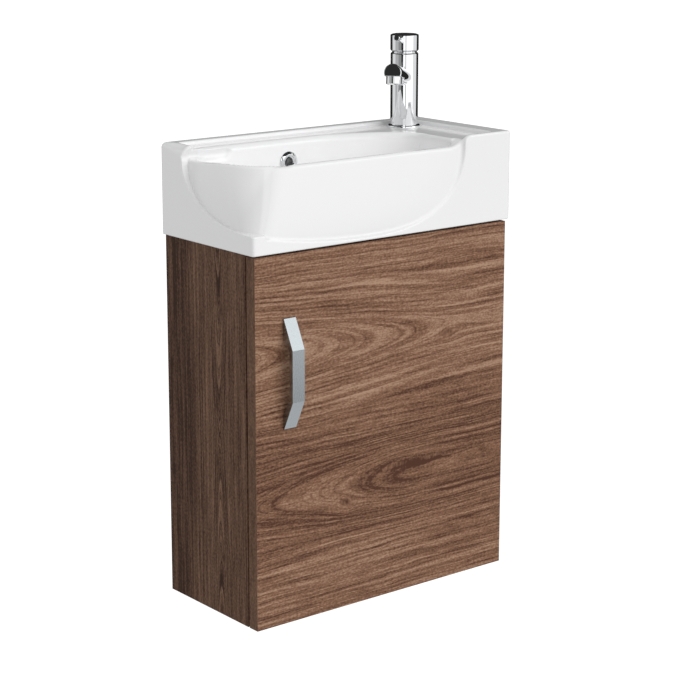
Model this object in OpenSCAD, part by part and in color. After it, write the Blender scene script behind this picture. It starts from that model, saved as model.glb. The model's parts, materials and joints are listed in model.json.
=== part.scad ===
// Wall-hung cloakroom vanity unit: one-door cabinet, ceramic basin and single-lever tap.
// The origin is the centre of the wall fixing holes, on the wall plane. The front faces -Y.

/* [Cabinet] */
// Width of the cabinet and of its door
cab_w = 440; // [400:1:500]
// Depth of the carcass without the door
carcass_d = 183; // [175:1:230]
// Height of the cabinet
cab_h = 511; // [490:1:600]
// Thickness of the carcass panels
panel_t = 15; // [15:0.5:18]
// Depth of the front rail and height of its face
front_rail_h = 50; // [40:1:60]
// Height of the two back rails
back_rail_h = 75; // [70:1:85]
// Space between the wall and the back rails
wall_space = 16; // [14:1:22]
// Height of the shelf's underside above the cabinet's bottom
shelf_z = 150; // [120:1:200]
// Depth of the shelf
shelf_d = 118; // [90:1:125]

/* [Door] */
// Thickness of the door
door_t = 18; // [18:0.5:22]
// Space between the door and the carcass
door_gap = 3; // [3:0.1:4]
// Space between the door and the basin above it
door_top_gap = 3; // [2:0.5:6]
// Distance from the door's end to the middle of each hinge
hinge_end = 88; // [75:1:110]

/* [Handle] */
// Length of the bow handle
handle_l = 150; // [140:1:180]
// Width of the handle's flat bar
handle_w = 20; // [16:1:24]
// Thickness of the handle's flat bar
handle_t = 7; // [6:0.5:8]
// How far the handle stands out from the door
handle_out = 21; // [20:0.5:26]
// Length of the handle's straight middle
handle_mid = 70; // [50:1:90]
// Distance from the door's free edge to the handle's centre line
handle_in = 55; // [30:1:90]
// Height of the handle's centre above the cabinet's bottom
handle_z = 348; // [220:1:380]

/* [Hinges] */
// Diameter of the hinge cup
cup_dia = 35; // [35:0.5:36]
// Depth of the hinge cup
cup_depth = 12.5; // [12.5:0.1:13.5]
// Distance from the door's edge to the cup
cup_edge = 3; // [2.8:0.1:3.2]
// Distance from the door's edge to the hinge pin
pin_in = 7; // [6.9:0.1:7]
// Depth of the hinge pin behind the door's inner face
pin_deep = 8.5; // [8.4:0.1:8.7]
// Diameter of the hinge pin
pin_dia = 2.4; // [2:0.1:2.6]

/* [Basin] */
// Width of the basin
basin_w = 450; // [430:1:520]
// Depth of the basin
basin_d = 208; // [200:1:250]
// Height of the basin at the back and at the tap side
basin_h = 126; // [118:1:150]
// Drop from the raised border to the tap deck
deck_drop = 6; // [4:0.5:10]
// Drop from the raised border to the bowl's rim
rim_drop = 15; // [12:1:24]
// Width of the raised border along the back
border_back = 18; // [12:1:20]
// Width of the raised border on the tap side
border_side = 30; // [20:1:34]
// Distance from the wall to the bowl's rear edge
bowl_back = 50; // [46:1:60]
// Thickness of the bowl's rim
rim_t = 9; // [8:0.5:14]
// Height of the bowl's floor above the basin's underside
bowl_floor = 28; // [26:1:34]
// Thickness of the ceramic under the bowl's floor and under the deck
glaze_t = 12; // [11:0.5:16]

/* [Tap] */
// Distance from the basin's side to the tap's axis
tap_side = 60; // [58:1:66]
// Distance from the wall to the tap's axis
tap_back = 46; // [44:1:56]
// Height of the tap above the deck
tap_h = 134; // [125:1:150]
// Diameter of the tap's body and cap
tap_dia = 40; // [38:0.5:44]
// Height of the groove under the tap's cap
tap_groove = 108.5; // [108:0.5:118]
// Direction of the spout, turned from straight left towards the front
spout_turn = 40; // [20:1:70]
// Length of the spout from the tap's axis
spout_l = 100; // [90:1:130]
// Diameter of the spout
spout_dia = 25; // [22:0.5:26]
// Rise of the spout in degrees
spout_rise = 10; // [0:1:12]
// Height of the spout's root above the deck
spout_z = 70.5; // [66:0.5:78]
// Length of the lever from the tap's axis
lever_l = 68; // [50:1:90]
// Diameter of the lever
lever_dia = 8.5; // [6:0.5:9]
// Rise of the lever in degrees
lever_rise = 9; // [0:1:15]

/* [Waste] */
// Diameter of the waste's thread
waste_dia = 42; // [40:0.5:46]
// Diameter of the waste's flange
flange_dia = 62; // [60:1:66]
// Travel of the push plug
plug_travel = 8; // [6:0.5:10]
// Diameter of the trap's bottle
trap_dia = 60; // [56:1:64]
// Diameter of the outlet pipe
outlet_dia = 32; // [30:1:34]
// Space between the outlet pipe and the hanging rail above it
outlet_gap = 15; // [10:1:35]
// Diameter of the overflow ring
overflow_dia = 30; // [26:0.5:34]

/* [Wall fixing] */
// Distance between the two wall plates' centres
fixing_w = 360; // [320:1:362]
// Distance between the two holes of one wall plate
fixing_h = 40; // [36:1:44]
// Diameter of the fixing holes
fixing_dia = 5.5; // [4:0.5:6]

/* [Hidden] */
$fn = 64;

// Clearances
fit = 0.05;
slack = 0.3;
tiny = 0.01;
// How far a cut runs past the face that it opens
over = 1;

// Main places
fix_drop = 4;
fix_z = cab_h - panel_t - back_rail_h / 2 - fix_drop;
in_x = cab_w / 2 - panel_t;
face_y = -carcass_d;
door_back = face_y - door_gap;
door_face = door_back - door_t;
door_h = cab_h - door_top_gap;
rail_front = -wall_space - panel_t;
deck_z = cab_h + basin_h - deck_drop;

module placed() translate([0, 0, -fix_z]) children();

// A box given by two opposite corners
module span(low, high) translate(low) cube(high - low);

// A cylinder along X, Y or Z from one coordinate to another
module rod_x(r, from, to, y, z) translate([from, y, z]) rotate([0, 90, 0]) cylinder(r = r, h = to - from);
module rod_y(r, from, to, x, z) translate([x, to, z]) rotate([90, 0, 0]) cylinder(r = r, h = to - from);
module rod_z(r, from, to, x, y) translate([x, y, from]) cylinder(r = r, h = to - from);

module both_sides() {
    children();
    mirror([1, 0, 0]) children();
}

// Flat-pack fittings: a cam in the panel, a bolt into the side and a dowel beside it
cam_r = 7.5;
cam_deep = 12;
cam_in = 34;
cam_slot_l = 10;
cam_slot_w = 1.2;
cam_slot_d = 2;
bolt_r = 3;
bolt_bite = 10;
dowel_r = 4;
dowel_l = 30;
dowel_bite = 10;
cam_end = 34;
dowel_end = 58;
bottom_ys = [-cam_end, face_y + cam_end];
bottom_dowel_ys = [-dowel_end, face_y + dowel_end];
upper_rail_z = cab_h - panel_t - back_rail_h / 2;
lower_rail_z = panel_t + back_rail_h / 2;
rail_zs = [upper_rail_z, lower_rail_z];
rail_fit_off = 25;
rail_mid_y = -wall_space - panel_t / 2;
front_rail_y = face_y + panel_t / 2;
front_rail_z = cab_h - front_rail_h / 2;
front_fit_off = 12;

module each_cam() {
    for (y = bottom_ys) translate([in_x - cam_in, y, panel_t - cam_deep]) children();
    for (z = rail_zs) translate([in_x - cam_in, rail_front + cam_deep, z + rail_fit_off]) rotate([90, 0, 0]) children();
    translate([in_x - cam_in, face_y + panel_t - cam_deep, front_rail_z + front_fit_off]) rotate([-90, 0, 0]) children();
}

module cam_bores() each_cam() cylinder(r = cam_r + fit, h = cam_deep + tiny);

module fitting_rods(cam_gap, gap) {
    for (y = bottom_ys) rod_x(bolt_r + gap, in_x - cam_in + cam_gap, in_x + bolt_bite + gap, y, panel_t / 2);
    for (z = rail_zs) rod_x(bolt_r + gap, in_x - cam_in + cam_gap, in_x + bolt_bite + gap, rail_mid_y, z + rail_fit_off);
    rod_x(bolt_r + gap, in_x - cam_in + cam_gap, in_x + bolt_bite + gap, front_rail_y, front_rail_z + front_fit_off);
}

module dowel_rods(gap) {
    low = in_x + dowel_bite - dowel_l - gap;
    high = in_x + dowel_bite + gap;
    for (y = bottom_dowel_ys) rod_x(dowel_r + gap, low, high, y, panel_t / 2);
    for (z = rail_zs) rod_x(dowel_r + gap, low, high, rail_mid_y, z - rail_fit_off);
    rod_x(dowel_r + gap, low, high, front_rail_y, front_rail_z - front_fit_off);
}

module fitting_bores() both_sides() {
    cam_bores();
    fitting_rods(cam_r, fit);
    dowel_rods(fit);
}

// Shelf pins
shelf_pin_r = 2.5;
shelf_pin_bite = 8;
shelf_pin_out = 8;
shelf_end_gap = 1;
shelf_pin_flange = 1.2;
shelf_pin_flange_drop = 1;
shelf_back_gap = 5;
shelf_pin_end = 20;
shelf_back = rail_front - shelf_back_gap;
shelf_pin_ys = [shelf_back - shelf_pin_end, shelf_back - shelf_d + shelf_pin_end];
shelf_pin_z = shelf_z - shelf_pin_r;

module shelf_pin_rods(gap) for (y = shelf_pin_ys)
    rod_x(shelf_pin_r + gap, in_x - shelf_pin_out, in_x + shelf_pin_bite + gap, y, shelf_pin_z);

// Concealed hinge, drawn about the pin with the middle of the hinge at z = 0
hinge_zs = [door_h - hinge_end, hinge_end];
pin_x = cab_w / 2 - pin_in;
pin_y = door_back - pin_deep;
cup_r = cup_dia / 2;
cup_wall = 1;
cup_x = cab_w / 2 - cup_edge - cup_r;
cup_flange_t = 1;
cup_flange_w = 20;
cup_flange_l = 56;
cup_screw_z = 23;
cup_boss_in = 5.2;
cup_boss_out = 9;
cup_boss_x = [4, 6];
cup_boss_top = 5;
pin_half = 8;
knuckle_r = 2;
neck_t = 1.6;
neck_half = 4.5;
arm_web_t = 1.5;
riser_h = 8;
plate_t = 1.5;
plate_in = 37;
plate_y = face_y + plate_in;
plate_l = 40;
plate_base_side = 1;
plate_wing = 6;
arm_x = in_x - riser_h - arm_web_t / 2;
arm_front_in = 12;
arm_back_off = 26;
arm_front_y = face_y + arm_front_in;
arm_back_y = plate_y + arm_back_off;
riser_half = 6;
cheek_gap = 0.6;
cheek_t = 1.4;
plate_screw_z = 16;
plate_screw_r = 2.2;
plate_screw_l = 12;
screw_head_r = 3.6;
screw_head_h = 1.6;
arm_screw_r = 2.5;
arm_screw_off = 12;
arm_screw_y = plate_y + arm_screw_off;
arm_head_r = 4.5;
arm_head_h = 2;
cup_head_r = 3.35;
cup_head_h = 1;
cup_screw_r = 1.75;
cup_screw_l = 12;

module at_hinge(i) translate([0, 0, hinge_zs[i]]) children();

module bar_2d(p, q, t) {
    d = q - p;
    translate(p) rotate(atan2(d.y, d.x)) translate([0, -t / 2]) square([norm(d), t]);
    translate(p) circle(r = t / 2);
    translate(q) circle(r = t / 2);
}

// Goose neck from the pin in the cup to the arm's web
neck_dip = 1.1;
neck_ends = [9, 14.5];
neck_lead = 2;
neck_tail = 4;
neck = [[pin_x, pin_y], [pin_x - neck_ends[0], pin_y - neck_dip], [pin_x - neck_ends[1], pin_y - neck_dip / 2],
    [arm_x, door_back - neck_lead], [arm_x, arm_front_y + neck_tail]];

// Door bumpers
bumper_r = 4;
bumper_end = 40;
bumper_gap = 0.2;

// Handle outline in the plane across the door
handle_lip = 2;
handle_bend = 0.4;
handle_foot = 19;
handle_screw_in = 11;
handle_x = handle_in - cab_w / 2;
handle_screw_r = 2;
handle_screw_bite = 5;
handle_head_r = 4.2;
handle_head_h = 2.2;
handle_screw_zs = [handle_l / 2 - handle_screw_in, handle_screw_in - handle_l / 2];

// Wall hangers
hanger_z = fix_z;
hanger_w = 22;
hanger_h = 50;
hanger_d = 38;
hook_t = 6;
hook_h = 5;
hook_in = 13;
hook_x = in_x - hook_in;
plate_x = fixing_w / 2;
plate_half = 22;
wall_plate_h = 64;
wall_plate_t = 3;
lip_t = 2.5;
lip_gap = 3.4;
lip_h = 12;
lip_low = 4;
lip_half = 9;
wall_plate_side = 2;
hook_low = lip_low + lip_h;
hook_high = hook_low + hook_h;
slot_play = 5;
case_low = 10;
case_over = 4;
case_top = hook_high + case_over;
hanger_screw_in = 12;
hanger_screw_y = rail_front - hanger_screw_in;
hook_tip_t = 2.6;
hook_tip_l = 9;
hook_side_room = 2;
hook_leg_in = 10;
hook_leg_y = rail_front - hanger_d + hook_leg_in;
hook_leg_t = 6;
hook_leg_drop = 4;
case_wall = 6;
case_roof = 2;
adjust_r = 3;
adjust_deep = 3;
adjust_in = 5;
adjust_x = in_x - adjust_in;
adjust_zs = [-2, 12];
hanger_screw_r = 2.2;
hanger_screw_l = 12;
hanger_screw_off = 19;
hanger_ear_t = 3;

// Basin outline
basin_x = basin_w / 2;
tap_x = basin_x - tap_side;
tap_y = -tap_back;
washer_r = 20;
washer_room = 1;
cavity_left = tap_x - washer_r - washer_room;
bowl_wall = 11;
bowl_right = cavity_left - bowl_wall;
rim_left_in = 7;
rim_front_in = 9;
rim_left = -basin_x + rim_left_in;
rim_front = -basin_d + rim_front_in;
bowl_left = rim_left + rim_t;
bowl_front = rim_front + rim_t;
carve_back = 48;
shoulder_gap = 8;
shoulder_y = carve_back - shoulder_gap;
carve_low_left = 26;
carve_low_front = 4;
carve_side = 80;
carve_right = basin_x - carve_side;
carve_mid = -34;
carve_steps = 24;
front_curve = 2.5;
strip_in = 22;
rim_cut = [14, 6];
deck_left = 4;
waste_x = (bowl_left + bowl_right) / 2;
waste_y = (bowl_front - bowl_back) / 2;
floor_z = cab_h + bowl_floor;
under_skin = 4;
under_z = floor_z - glaze_t - under_skin;
wall_in = 14;
under_hollow = bowl_floor - glaze_t - under_skin;
tap_hole_r = 17.5;
overflow_r = 9;
overflow_drop = 38;
overflow_z = cab_h + basin_h - overflow_drop;
overflow_off = 10;
overflow_x = waste_x - overflow_off;
overflow_lip = 3.4;
overflow_bevel = 4;
overflow_spigot = 9;
channel_half = 14;
channel_low = 4;
channel_high = 10;
channel_top = 12;
channel_end = 8;
overflow_wall = 2.35;
overflow_edge = 1;
channel_back = -26;
channel_front = -34;

// Waste and trap
outlet_r = outlet_dia / 2;
outlet_z = upper_rail_z - back_rail_h / 2 - outlet_gap - outlet_r;
waste_r = waste_dia / 2;
waste_hole_gap = 1.5;
waste_hole_r = waste_r + waste_hole_gap;
flange_r = flange_dia / 2;
flange_t = 2.5;
seal_t = 1.5;
seal_in = 2;
flange_z = floor_z + seal_t;
waste_wall = 2.5;
waste_l = 70;
waste_low = flange_z - waste_l;
plug_in = 3;
plug_r = flange_r - plug_in;
plug_t = 5;
plug_stem_r = 5;
collar_r = 6.5;
collar_h = 3;
guide_r = 8;
guide_h = 10;
guide_drop = 28;
guide_z = flange_z - guide_drop;
collar_z = guide_z - guide_h - plug_travel - slack;
guide_arm_w = 3;
port_r = 3;
plug_edge = 1.2;
plug_bevel = 4;
plug_bevel_z = 3.2;
plug_dome_z = 4.6;
waste_lug_r = 3;
trap_bead_r = 1.5;
trap_bead_h = 3;
trap_neck_wall = 3;
trap_neck_r = waste_r + trap_neck_wall;
trap_cone_h = 8;
trap_neck_h = 8;
trap_roof = 2;
socket_wall = 4;
dip_flange = 3;
dip_flange_t = 2;
dip_wall = 1.6;
trap_cup_t = 2.5;
trap_floor = 3;
under_seal_t = 3;
waste_nut_h = 10;
waste_nut_wall = 7;
waste_nut_r = waste_r + waste_nut_wall;
trap_r = trap_dia / 2;
trap_wall = 2.5;
trap_lap = 4;
trap_top = waste_low + trap_lap;
trap_cone_z = trap_top - trap_neck_h - trap_cone_h;
trap_depth = 55;
trap_low = outlet_z - trap_depth;
trap_cup_h = 34;
trap_nut_h = 16;
trap_nut_wall = 6;
trap_nut_r = waste_r + trap_nut_wall;
dip_r = 15;
dip_floor_gap = 16;
dip_low = trap_low + dip_floor_gap;
outlet_wall = 1.8;
outlet_nut_wall = 6;
outlet_nut_r = outlet_r + outlet_nut_wall;
outlet_nut_l = 14;
socket_l = 10;
outlet_step = 0.5;
outlet_root = waste_y + trap_r + socket_l;
outlet_neck_r = outlet_r - outlet_step;
outlet_bite = 6;
outlet_nut_end = outlet_root + outlet_nut_l;

// Tap, drawn with the deck at z = 0 and the axis at x = y = 0
tap_r = tap_dia / 2;
tap_foot_t = 1;
ring_t = 3;
ring_out = 4;
ring_edge = 1.4;
ring_bevel = 1.6;
ring_r = tap_r + ring_out;
pivot_rise = 13;
pivot_z = tap_groove + pivot_rise;
cap_ball_r = sqrt(pow(tap_r, 2) + pow(pivot_z - tap_groove, 2));
cap_wall = 3.5;
cap_top_t = 5;
cap_dome_h = 1.5;
cap_dome_in = 4;
cap_skirt = 10;
groove_w = 0.6;
cartridge_r = 12.5;
cartridge_z = 76;
cartridge_gap = 2;
cartridge_flange = 6;
cartridge_nut_low = 5;
stem_seat = 8;
stem_play = 0.2;
cartridge_top = pivot_z - cap_ball_r - cartridge_gap;
cartridge_bore_r = 14.5;
chamber_z = 64;
chamber_r = 9;
shank_r = 16;
shank_l = 9;
inlet_r = 4.5;
inlet_x = 5.5;
inlet_y = 6.5;
inlet_l = 14;
channel_r = 4.3;
passage_r = 5;
passage_rise = 7;
stem_r = 4.5;
stem_top = 3;
pivot_pin_r = 1.5;
pivot_pin_half = 8;
boss_r = 9;
boss_low = 5;
slot_half = stem_r + stem_play;
spout_r = spout_dia / 2;
spout_bore = 8;
spout_end = 4;
spout_flat = 5;
spout_flat_l = 34;
aerator_r = 11;
aerator_h = 10.5;
aerator_back = 14;
aerator_bore = 8.5;
aerator_recess = 2;
lever_r = lever_dia / 2;
lever_up = 1;
lever_bite = 2;
lever_z = pivot_z + lever_up;
stud_r = 4;
stud_l = 48;
stud_bite = 12;
stud_x = -10;
washer_t = 4;
washer_open_x = -1;
washer_open_half = 12;
nut_r = 7.5;
nut_h = 7;

module at_tap() translate([tap_x, tap_y, deck_z]) children();
// X runs along the spout and the lever
module along_spout() rotate([0, 0, 180 + spout_turn]) children();

// Carcass panels
module side_left_board() {
    span([-cab_w / 2, face_y, 0], [-in_x, 0, cab_h]);
}

module side_panel_left() color([0.30, 0.21, 0.16]) placed() difference() {
    side_left_board();
    fitting_bores();
    mirror([1, 0, 0]) shelf_pin_rods(fit);
    mirror([1, 0, 0]) hanger_screw_rods(fit);
}

module side_panel_right() color([0.30, 0.21, 0.16]) placed() difference() {
    mirror([1, 0, 0]) side_left_board();
    fitting_bores();
    shelf_pin_rods(fit);
    hanger_screw_rods(fit);
    plate_screw_rods(fit);
}

module bottom_panel() color([0.33, 0.23, 0.17]) placed() difference() {
    span([-in_x, face_y, 0], [in_x, 0, panel_t]);
    fitting_bores();
}

module front_rail() color([0.33, 0.23, 0.17]) placed() difference() {
    span([-in_x, face_y, cab_h - front_rail_h], [in_x, face_y + panel_t, cab_h]);
    fitting_bores();
}

module back_rail(z) difference() {
    span([-in_x, rail_front, z - back_rail_h / 2], [in_x, -wall_space, z + back_rail_h / 2]);
    fitting_bores();
}

module hanging_rail() color([0.33, 0.23, 0.17]) placed() difference() {
    back_rail(upper_rail_z);
    both_sides() span([hook_x - hook_t / 2 - hook_side_room, rail_front - over, hanger_z + hook_low - slot_play],
        [hook_x + hook_t / 2 + hook_side_room, over - wall_space, hanger_z + hook_high + slot_play]);
}

module lower_rail() color([0.33, 0.23, 0.17]) placed() back_rail(lower_rail_z);

module shelf() color([0.42, 0.30, 0.22]) placed()
    span([shelf_end_gap - in_x, shelf_back - shelf_d, shelf_z], [in_x - shelf_end_gap, shelf_back, shelf_z + panel_t]);

module shelf_pins() color([0.7, 0.7, 0.72]) placed() both_sides() {
    shelf_pin_rods(0);
    for (y = shelf_pin_ys) rod_x(shelf_pin_r + shelf_pin_flange, in_x - shelf_end_gap, in_x, y,
        shelf_pin_z - shelf_pin_flange_drop);
}

module cam_locks() color([0.7, 0.7, 0.72]) placed() both_sides() each_cam() difference() {
    cylinder(r = cam_r, h = cam_deep);
    for (a = [0, 90]) rotate([0, 0, a]) span([-cam_slot_l / 2, -cam_slot_w / 2, cam_deep - cam_slot_d],
        [cam_slot_l / 2, cam_slot_w / 2, cam_deep + over]);
}

module cam_bolts() color([0.75, 0.75, 0.77]) placed() both_sides() fitting_rods(cam_r, 0);

module wood_dowels() color([0.80, 0.68, 0.50]) placed() both_sides() dowel_rods(0);

// Hangers inside the top back corners, with a hook through the rail onto a wall plate
module hanger_screw_rods(gap) for (s = [-1, 1])
    rod_x(hanger_screw_r + gap, in_x - hanger_ear_t - tiny, in_x + hanger_screw_l - hanger_ear_t + gap,
        hanger_screw_y, hanger_z + s * hanger_screw_off);

module hanger_case() difference() {
    union() {
        span([in_x - hanger_w, rail_front - hanger_d, hanger_z - case_low], [in_x, rail_front, hanger_z + case_top]);
        span([in_x - hanger_ear_t, rail_front - hanger_d, hanger_z - hanger_h / 2],
            [in_x, rail_front, hanger_z + hanger_h / 2]);
    }
    // The space that the hook slides and tilts in
    span([hook_x - hook_t / 2 - slack, rail_front - hanger_d + case_wall, hanger_z - case_wall],
        [hook_x + hook_t / 2 + slack, rail_front + over, hanger_z + case_top - case_roof]);
    // Heads of the adjusting screws
    for (z = adjust_zs) rod_y(adjust_r, rail_front - hanger_d - over, rail_front - hanger_d + adjust_deep,
        adjust_x, hanger_z + z);
    for (s = [-1, 1]) rod_x(screw_head_r + slack, in_x - hanger_w - over, in_x - hanger_ear_t,
        hanger_screw_y, hanger_z + s * hanger_screw_off);
    hanger_screw_rods(fit);
}

module hanger_right() color([0.86, 0.86, 0.85]) placed() hanger_case();
module hanger_left() color([0.86, 0.86, 0.85]) placed() mirror([1, 0, 0]) hanger_case();

// The hook rests on the wall plate's lip and its tip drops behind it
lip_top = hanger_z + lip_low + lip_h;
lip_front = -wall_plate_t - lip_gap - lip_t;

module hanger_hook() {
    x0 = hook_x - hook_t / 2;
    x1 = hook_x + hook_t / 2;
    tip_y = -wall_plate_t - (lip_gap - hook_tip_t) / 2;
    span([x0, hook_leg_y, lip_top], [x1, tip_y, lip_top + hook_h]);
    span([x0, tip_y - hook_tip_t, lip_top - hook_tip_l], [x1, tip_y, lip_top + hook_h]);
    span([x0, hook_leg_y, hanger_z - hook_leg_drop], [x1, hook_leg_y + hook_leg_t, lip_top + hook_h]);
}

module hanger_hook_right() color([0.72, 0.72, 0.74]) placed() hanger_hook();
module hanger_hook_left() color([0.72, 0.72, 0.74]) placed() mirror([1, 0, 0]) hanger_hook();

module wall_plate() difference() {
    union() {
        span([plate_x - plate_half, -wall_plate_t, hanger_z - wall_plate_h / 2],
            [in_x - wall_plate_side, 0, hanger_z + wall_plate_h / 2]);
        span([hook_x - lip_half, lip_front, hanger_z + lip_low], [hook_x + lip_half, lip_front + lip_t, lip_top]);
        span([hook_x - lip_half, lip_front, hanger_z + lip_low - lip_t],
            [hook_x + lip_half, tiny - wall_plate_t, hanger_z + lip_low]);
    }
    for (s = [-1, 1]) rod_y(fixing_dia / 2, -wall_plate_t - over, over, plate_x, hanger_z + s * fixing_h / 2);
}

module wall_plate_right() color([0.72, 0.72, 0.74]) placed() wall_plate();
module wall_plate_left() color([0.72, 0.72, 0.74]) placed() mirror([1, 0, 0]) wall_plate();

module hanger_screws() color([0.75, 0.75, 0.77]) placed() both_sides() {
    hanger_screw_rods(0);
    for (s = [-1, 1]) rod_x(screw_head_r, in_x - hanger_ear_t - screw_head_h, in_x - hanger_ear_t,
        hanger_screw_y, hanger_z + s * hanger_screw_off);
}

// Hinges
module plate_screw_rods(gap) for (i = [0, 1]) at_hinge(i) for (s = [-1, 1])
    rod_x(plate_screw_r + gap, in_x - plate_t - tiny, in_x + plate_screw_l + gap, plate_y, s * plate_screw_z);

module arm_screw_rod(gap) rod_x(arm_screw_r + gap, in_x - riser_h - arm_web_t - tiny, in_x - plate_t, arm_screw_y, 0);

module hinge_plate(i) color([0.74, 0.74, 0.76]) placed() difference() {
    at_hinge(i) {
        span([in_x - plate_t, plate_y - plate_l / 2, -riser_half - plate_base_side],
            [in_x, plate_y + plate_l / 2, riser_half + plate_base_side]);
        span([in_x - plate_t, plate_y - plate_wing, -plate_screw_z - plate_wing],
            [in_x, plate_y + plate_wing, plate_screw_z + plate_wing]);
        span([in_x - riser_h, plate_y - plate_l / 2, -riser_half], [in_x - plate_t, plate_y + plate_l / 2, riser_half]);
    }
    plate_screw_rods(fit);
    at_hinge(i) arm_screw_rod(fit);
}

module hinge_plate_top() hinge_plate(0);
module hinge_plate_bottom() hinge_plate(1);

module hinge_arm(i) color([0.76, 0.76, 0.78]) placed() at_hinge(i) difference() {
    cheek = riser_half + cheek_gap;
    union() {
        translate([0, 0, -neck_half]) linear_extrude(2 * neck_half) {
            for (k = [0 : len(neck) - 2]) bar_2d(neck[k], neck[k + 1], neck_t);
            translate(neck[0]) circle(r = knuckle_r);
        }
        span([in_x - riser_h - arm_web_t, arm_front_y, -cheek - cheek_t], [in_x - riser_h, arm_back_y, cheek + cheek_t]);
        for (s = [0, 1]) mirror([0, 0, s])
            span([in_x - riser_h - tiny, arm_front_y, cheek], [in_x - plate_t - over, arm_back_y, cheek + cheek_t]);
    }
    rod_z(pin_dia / 2 + fit, -neck_half - over, neck_half + over, pin_x, pin_y);
    arm_screw_rod(fit);
}

module hinge_arm_top() hinge_arm(0);
module hinge_arm_bottom() hinge_arm(1);

module hinge_cup(i) color([0.74, 0.74, 0.76]) placed() at_hinge(i) difference() {
    cup_shell();
    rod_z(pin_dia / 2 + tiny, -pin_half - tiny, pin_half + tiny, pin_x, pin_y);
}

module cup_shell() {
    difference() {
        union() {
            rod_y(cup_r, door_back - cup_depth, door_back, cup_x, 0);
            span([cup_x - cup_flange_w / 2, door_back, -cup_flange_l / 2],
                [cup_x + cup_flange_w / 2, door_back + cup_flange_t, cup_flange_l / 2]);
        }
        rod_y(cup_r - cup_wall, door_back - cup_depth + cup_wall, door_back + cup_flange_t + over, cup_x, 0);
        for (s = [-1, 1]) rod_y(cup_screw_r + fit, door_back - over, door_back + cup_flange_t + over,
            cup_x, s * cup_screw_z);
    }
    // Bosses that hold the two ends of the pin
    intersection() {
        rod_y(cup_r - cup_wall / 2, door_back - cup_depth + cup_wall / 2, door_back - cup_boss_top, cup_x, 0);
        for (s = [0, 1]) mirror([0, 0, s])
            span([pin_x - cup_boss_x[0], door_back - cup_depth, cup_boss_in],
                [pin_x + cup_boss_x[1], door_back, cup_boss_out]);
    }
}

module hinge_cup_top() hinge_cup(0);
module hinge_cup_bottom() hinge_cup(1);

module hinge_pin(i) color([0.8, 0.8, 0.82]) placed() at_hinge(i)
    rod_z(pin_dia / 2, -pin_half, pin_half, pin_x, pin_y);

module hinge_pin_top() hinge_pin(0);
module hinge_pin_bottom() hinge_pin(1);

module hinge_plate_screws() color([0.78, 0.78, 0.8]) placed() {
    plate_screw_rods(0);
    for (i = [0, 1]) at_hinge(i) for (s = [-1, 1])
        rod_x(screw_head_r, in_x - plate_t - screw_head_h, in_x - plate_t, plate_y, s * plate_screw_z);
}

module hinge_arm_screws() color([0.78, 0.78, 0.8]) placed() for (i = [0, 1]) at_hinge(i) {
    arm_screw_rod(0);
    rod_x(arm_head_r, in_x - riser_h - arm_web_t - arm_head_h, in_x - riser_h - arm_web_t, arm_screw_y, 0);
}

module cup_screw_rods(gap) for (i = [0, 1]) at_hinge(i) for (s = [-1, 1])
    rod_y(cup_screw_r + gap, door_back - cup_screw_l - gap, door_back + cup_flange_t, cup_x, s * cup_screw_z);

module hinge_cup_screws() color([0.78, 0.78, 0.8]) placed() {
    cup_screw_rods(0);
    for (i = [0, 1]) at_hinge(i) for (s = [-1, 1])
        rod_y(cup_head_r, door_back + cup_flange_t, door_back + cup_flange_t + cup_head_h, cup_x, s * cup_screw_z);
}

// Door
module handle_screw_rods(gap) for (z = handle_screw_zs)
    rod_y(handle_screw_r + gap, door_face - handle_screw_bite - gap, door_back, handle_x, handle_z + z);

module door_panel() color([0.42, 0.30, 0.22]) placed() difference() {
    span([-cab_w / 2, door_face, 0], [cab_w / 2, door_back, door_h]);
    for (i = [0, 1]) at_hinge(i) rod_y(cup_r + fit, door_back - cup_depth - fit, door_back + over, cup_x, 0);
    cup_screw_rods(fit);
    handle_screw_rods(fit);
}

module door_bumpers() color([0.85, 0.85, 0.85]) placed() for (z = [bumper_end, door_h - bumper_end])
    rod_y(bumper_r, door_back, face_y - bumper_gap, panel_t / 2 - cab_w / 2, z);

module handle_outline() {
    half = handle_l / 2;
    mid = handle_mid / 2;
    inner_mid = mid - handle_t * handle_bend;
    inner_end = half - handle_foot;
    polygon([[0, half], [handle_lip, half], [handle_out, mid], [handle_out, -mid], [handle_lip, -half], [0, -half],
        [0, -inner_end], [handle_out - handle_t, -inner_mid], [handle_out - handle_t, inner_mid], [0, inner_end]]);
}

module door_handle() color([0.66, 0.68, 0.69]) placed() difference() {
    translate([handle_x + handle_w / 2, door_face, handle_z])
        rotate([0, 0, -90]) rotate([90, 0, 0]) linear_extrude(handle_w) handle_outline();
    handle_screw_rods(fit);
}

module handle_screws() color([0.78, 0.78, 0.8]) placed() {
    handle_screw_rods(0);
    for (z = handle_screw_zs) rod_y(handle_head_r, door_back, door_back + handle_head_h, handle_x, handle_z + z);
}

// Basin: a block whose front and left are cut back to a rounded tub above a curved line
function super(t, n) = pow(max(0, 1 - pow(t, n)), 1 / n);
front_top = basin_h - deck_drop;
left_rise = 1;
left_top = basin_h - rim_drop + left_rise;
shoulder_lean = 4;

module front_line_2d() {
    right_part = [for (k = [0 : carve_steps]) let (t = sin(90 * k / carve_steps))
        [carve_mid + (carve_right - carve_mid) * t, front_top - (front_top - carve_low_front) * super(t, front_curve)]];
    left_part = [for (k = [carve_steps : -1 : 1]) let (t = k / carve_steps)
        [carve_mid - (basin_x + carve_mid) * t, carve_low_front + (carve_low_left - carve_low_front) * t * t]];
    polygon(concat([[-basin_x, 0]], left_part, right_part,
        [[carve_right + shoulder_lean, basin_h], [basin_x, basin_h], [basin_x, 0]]));
}

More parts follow.
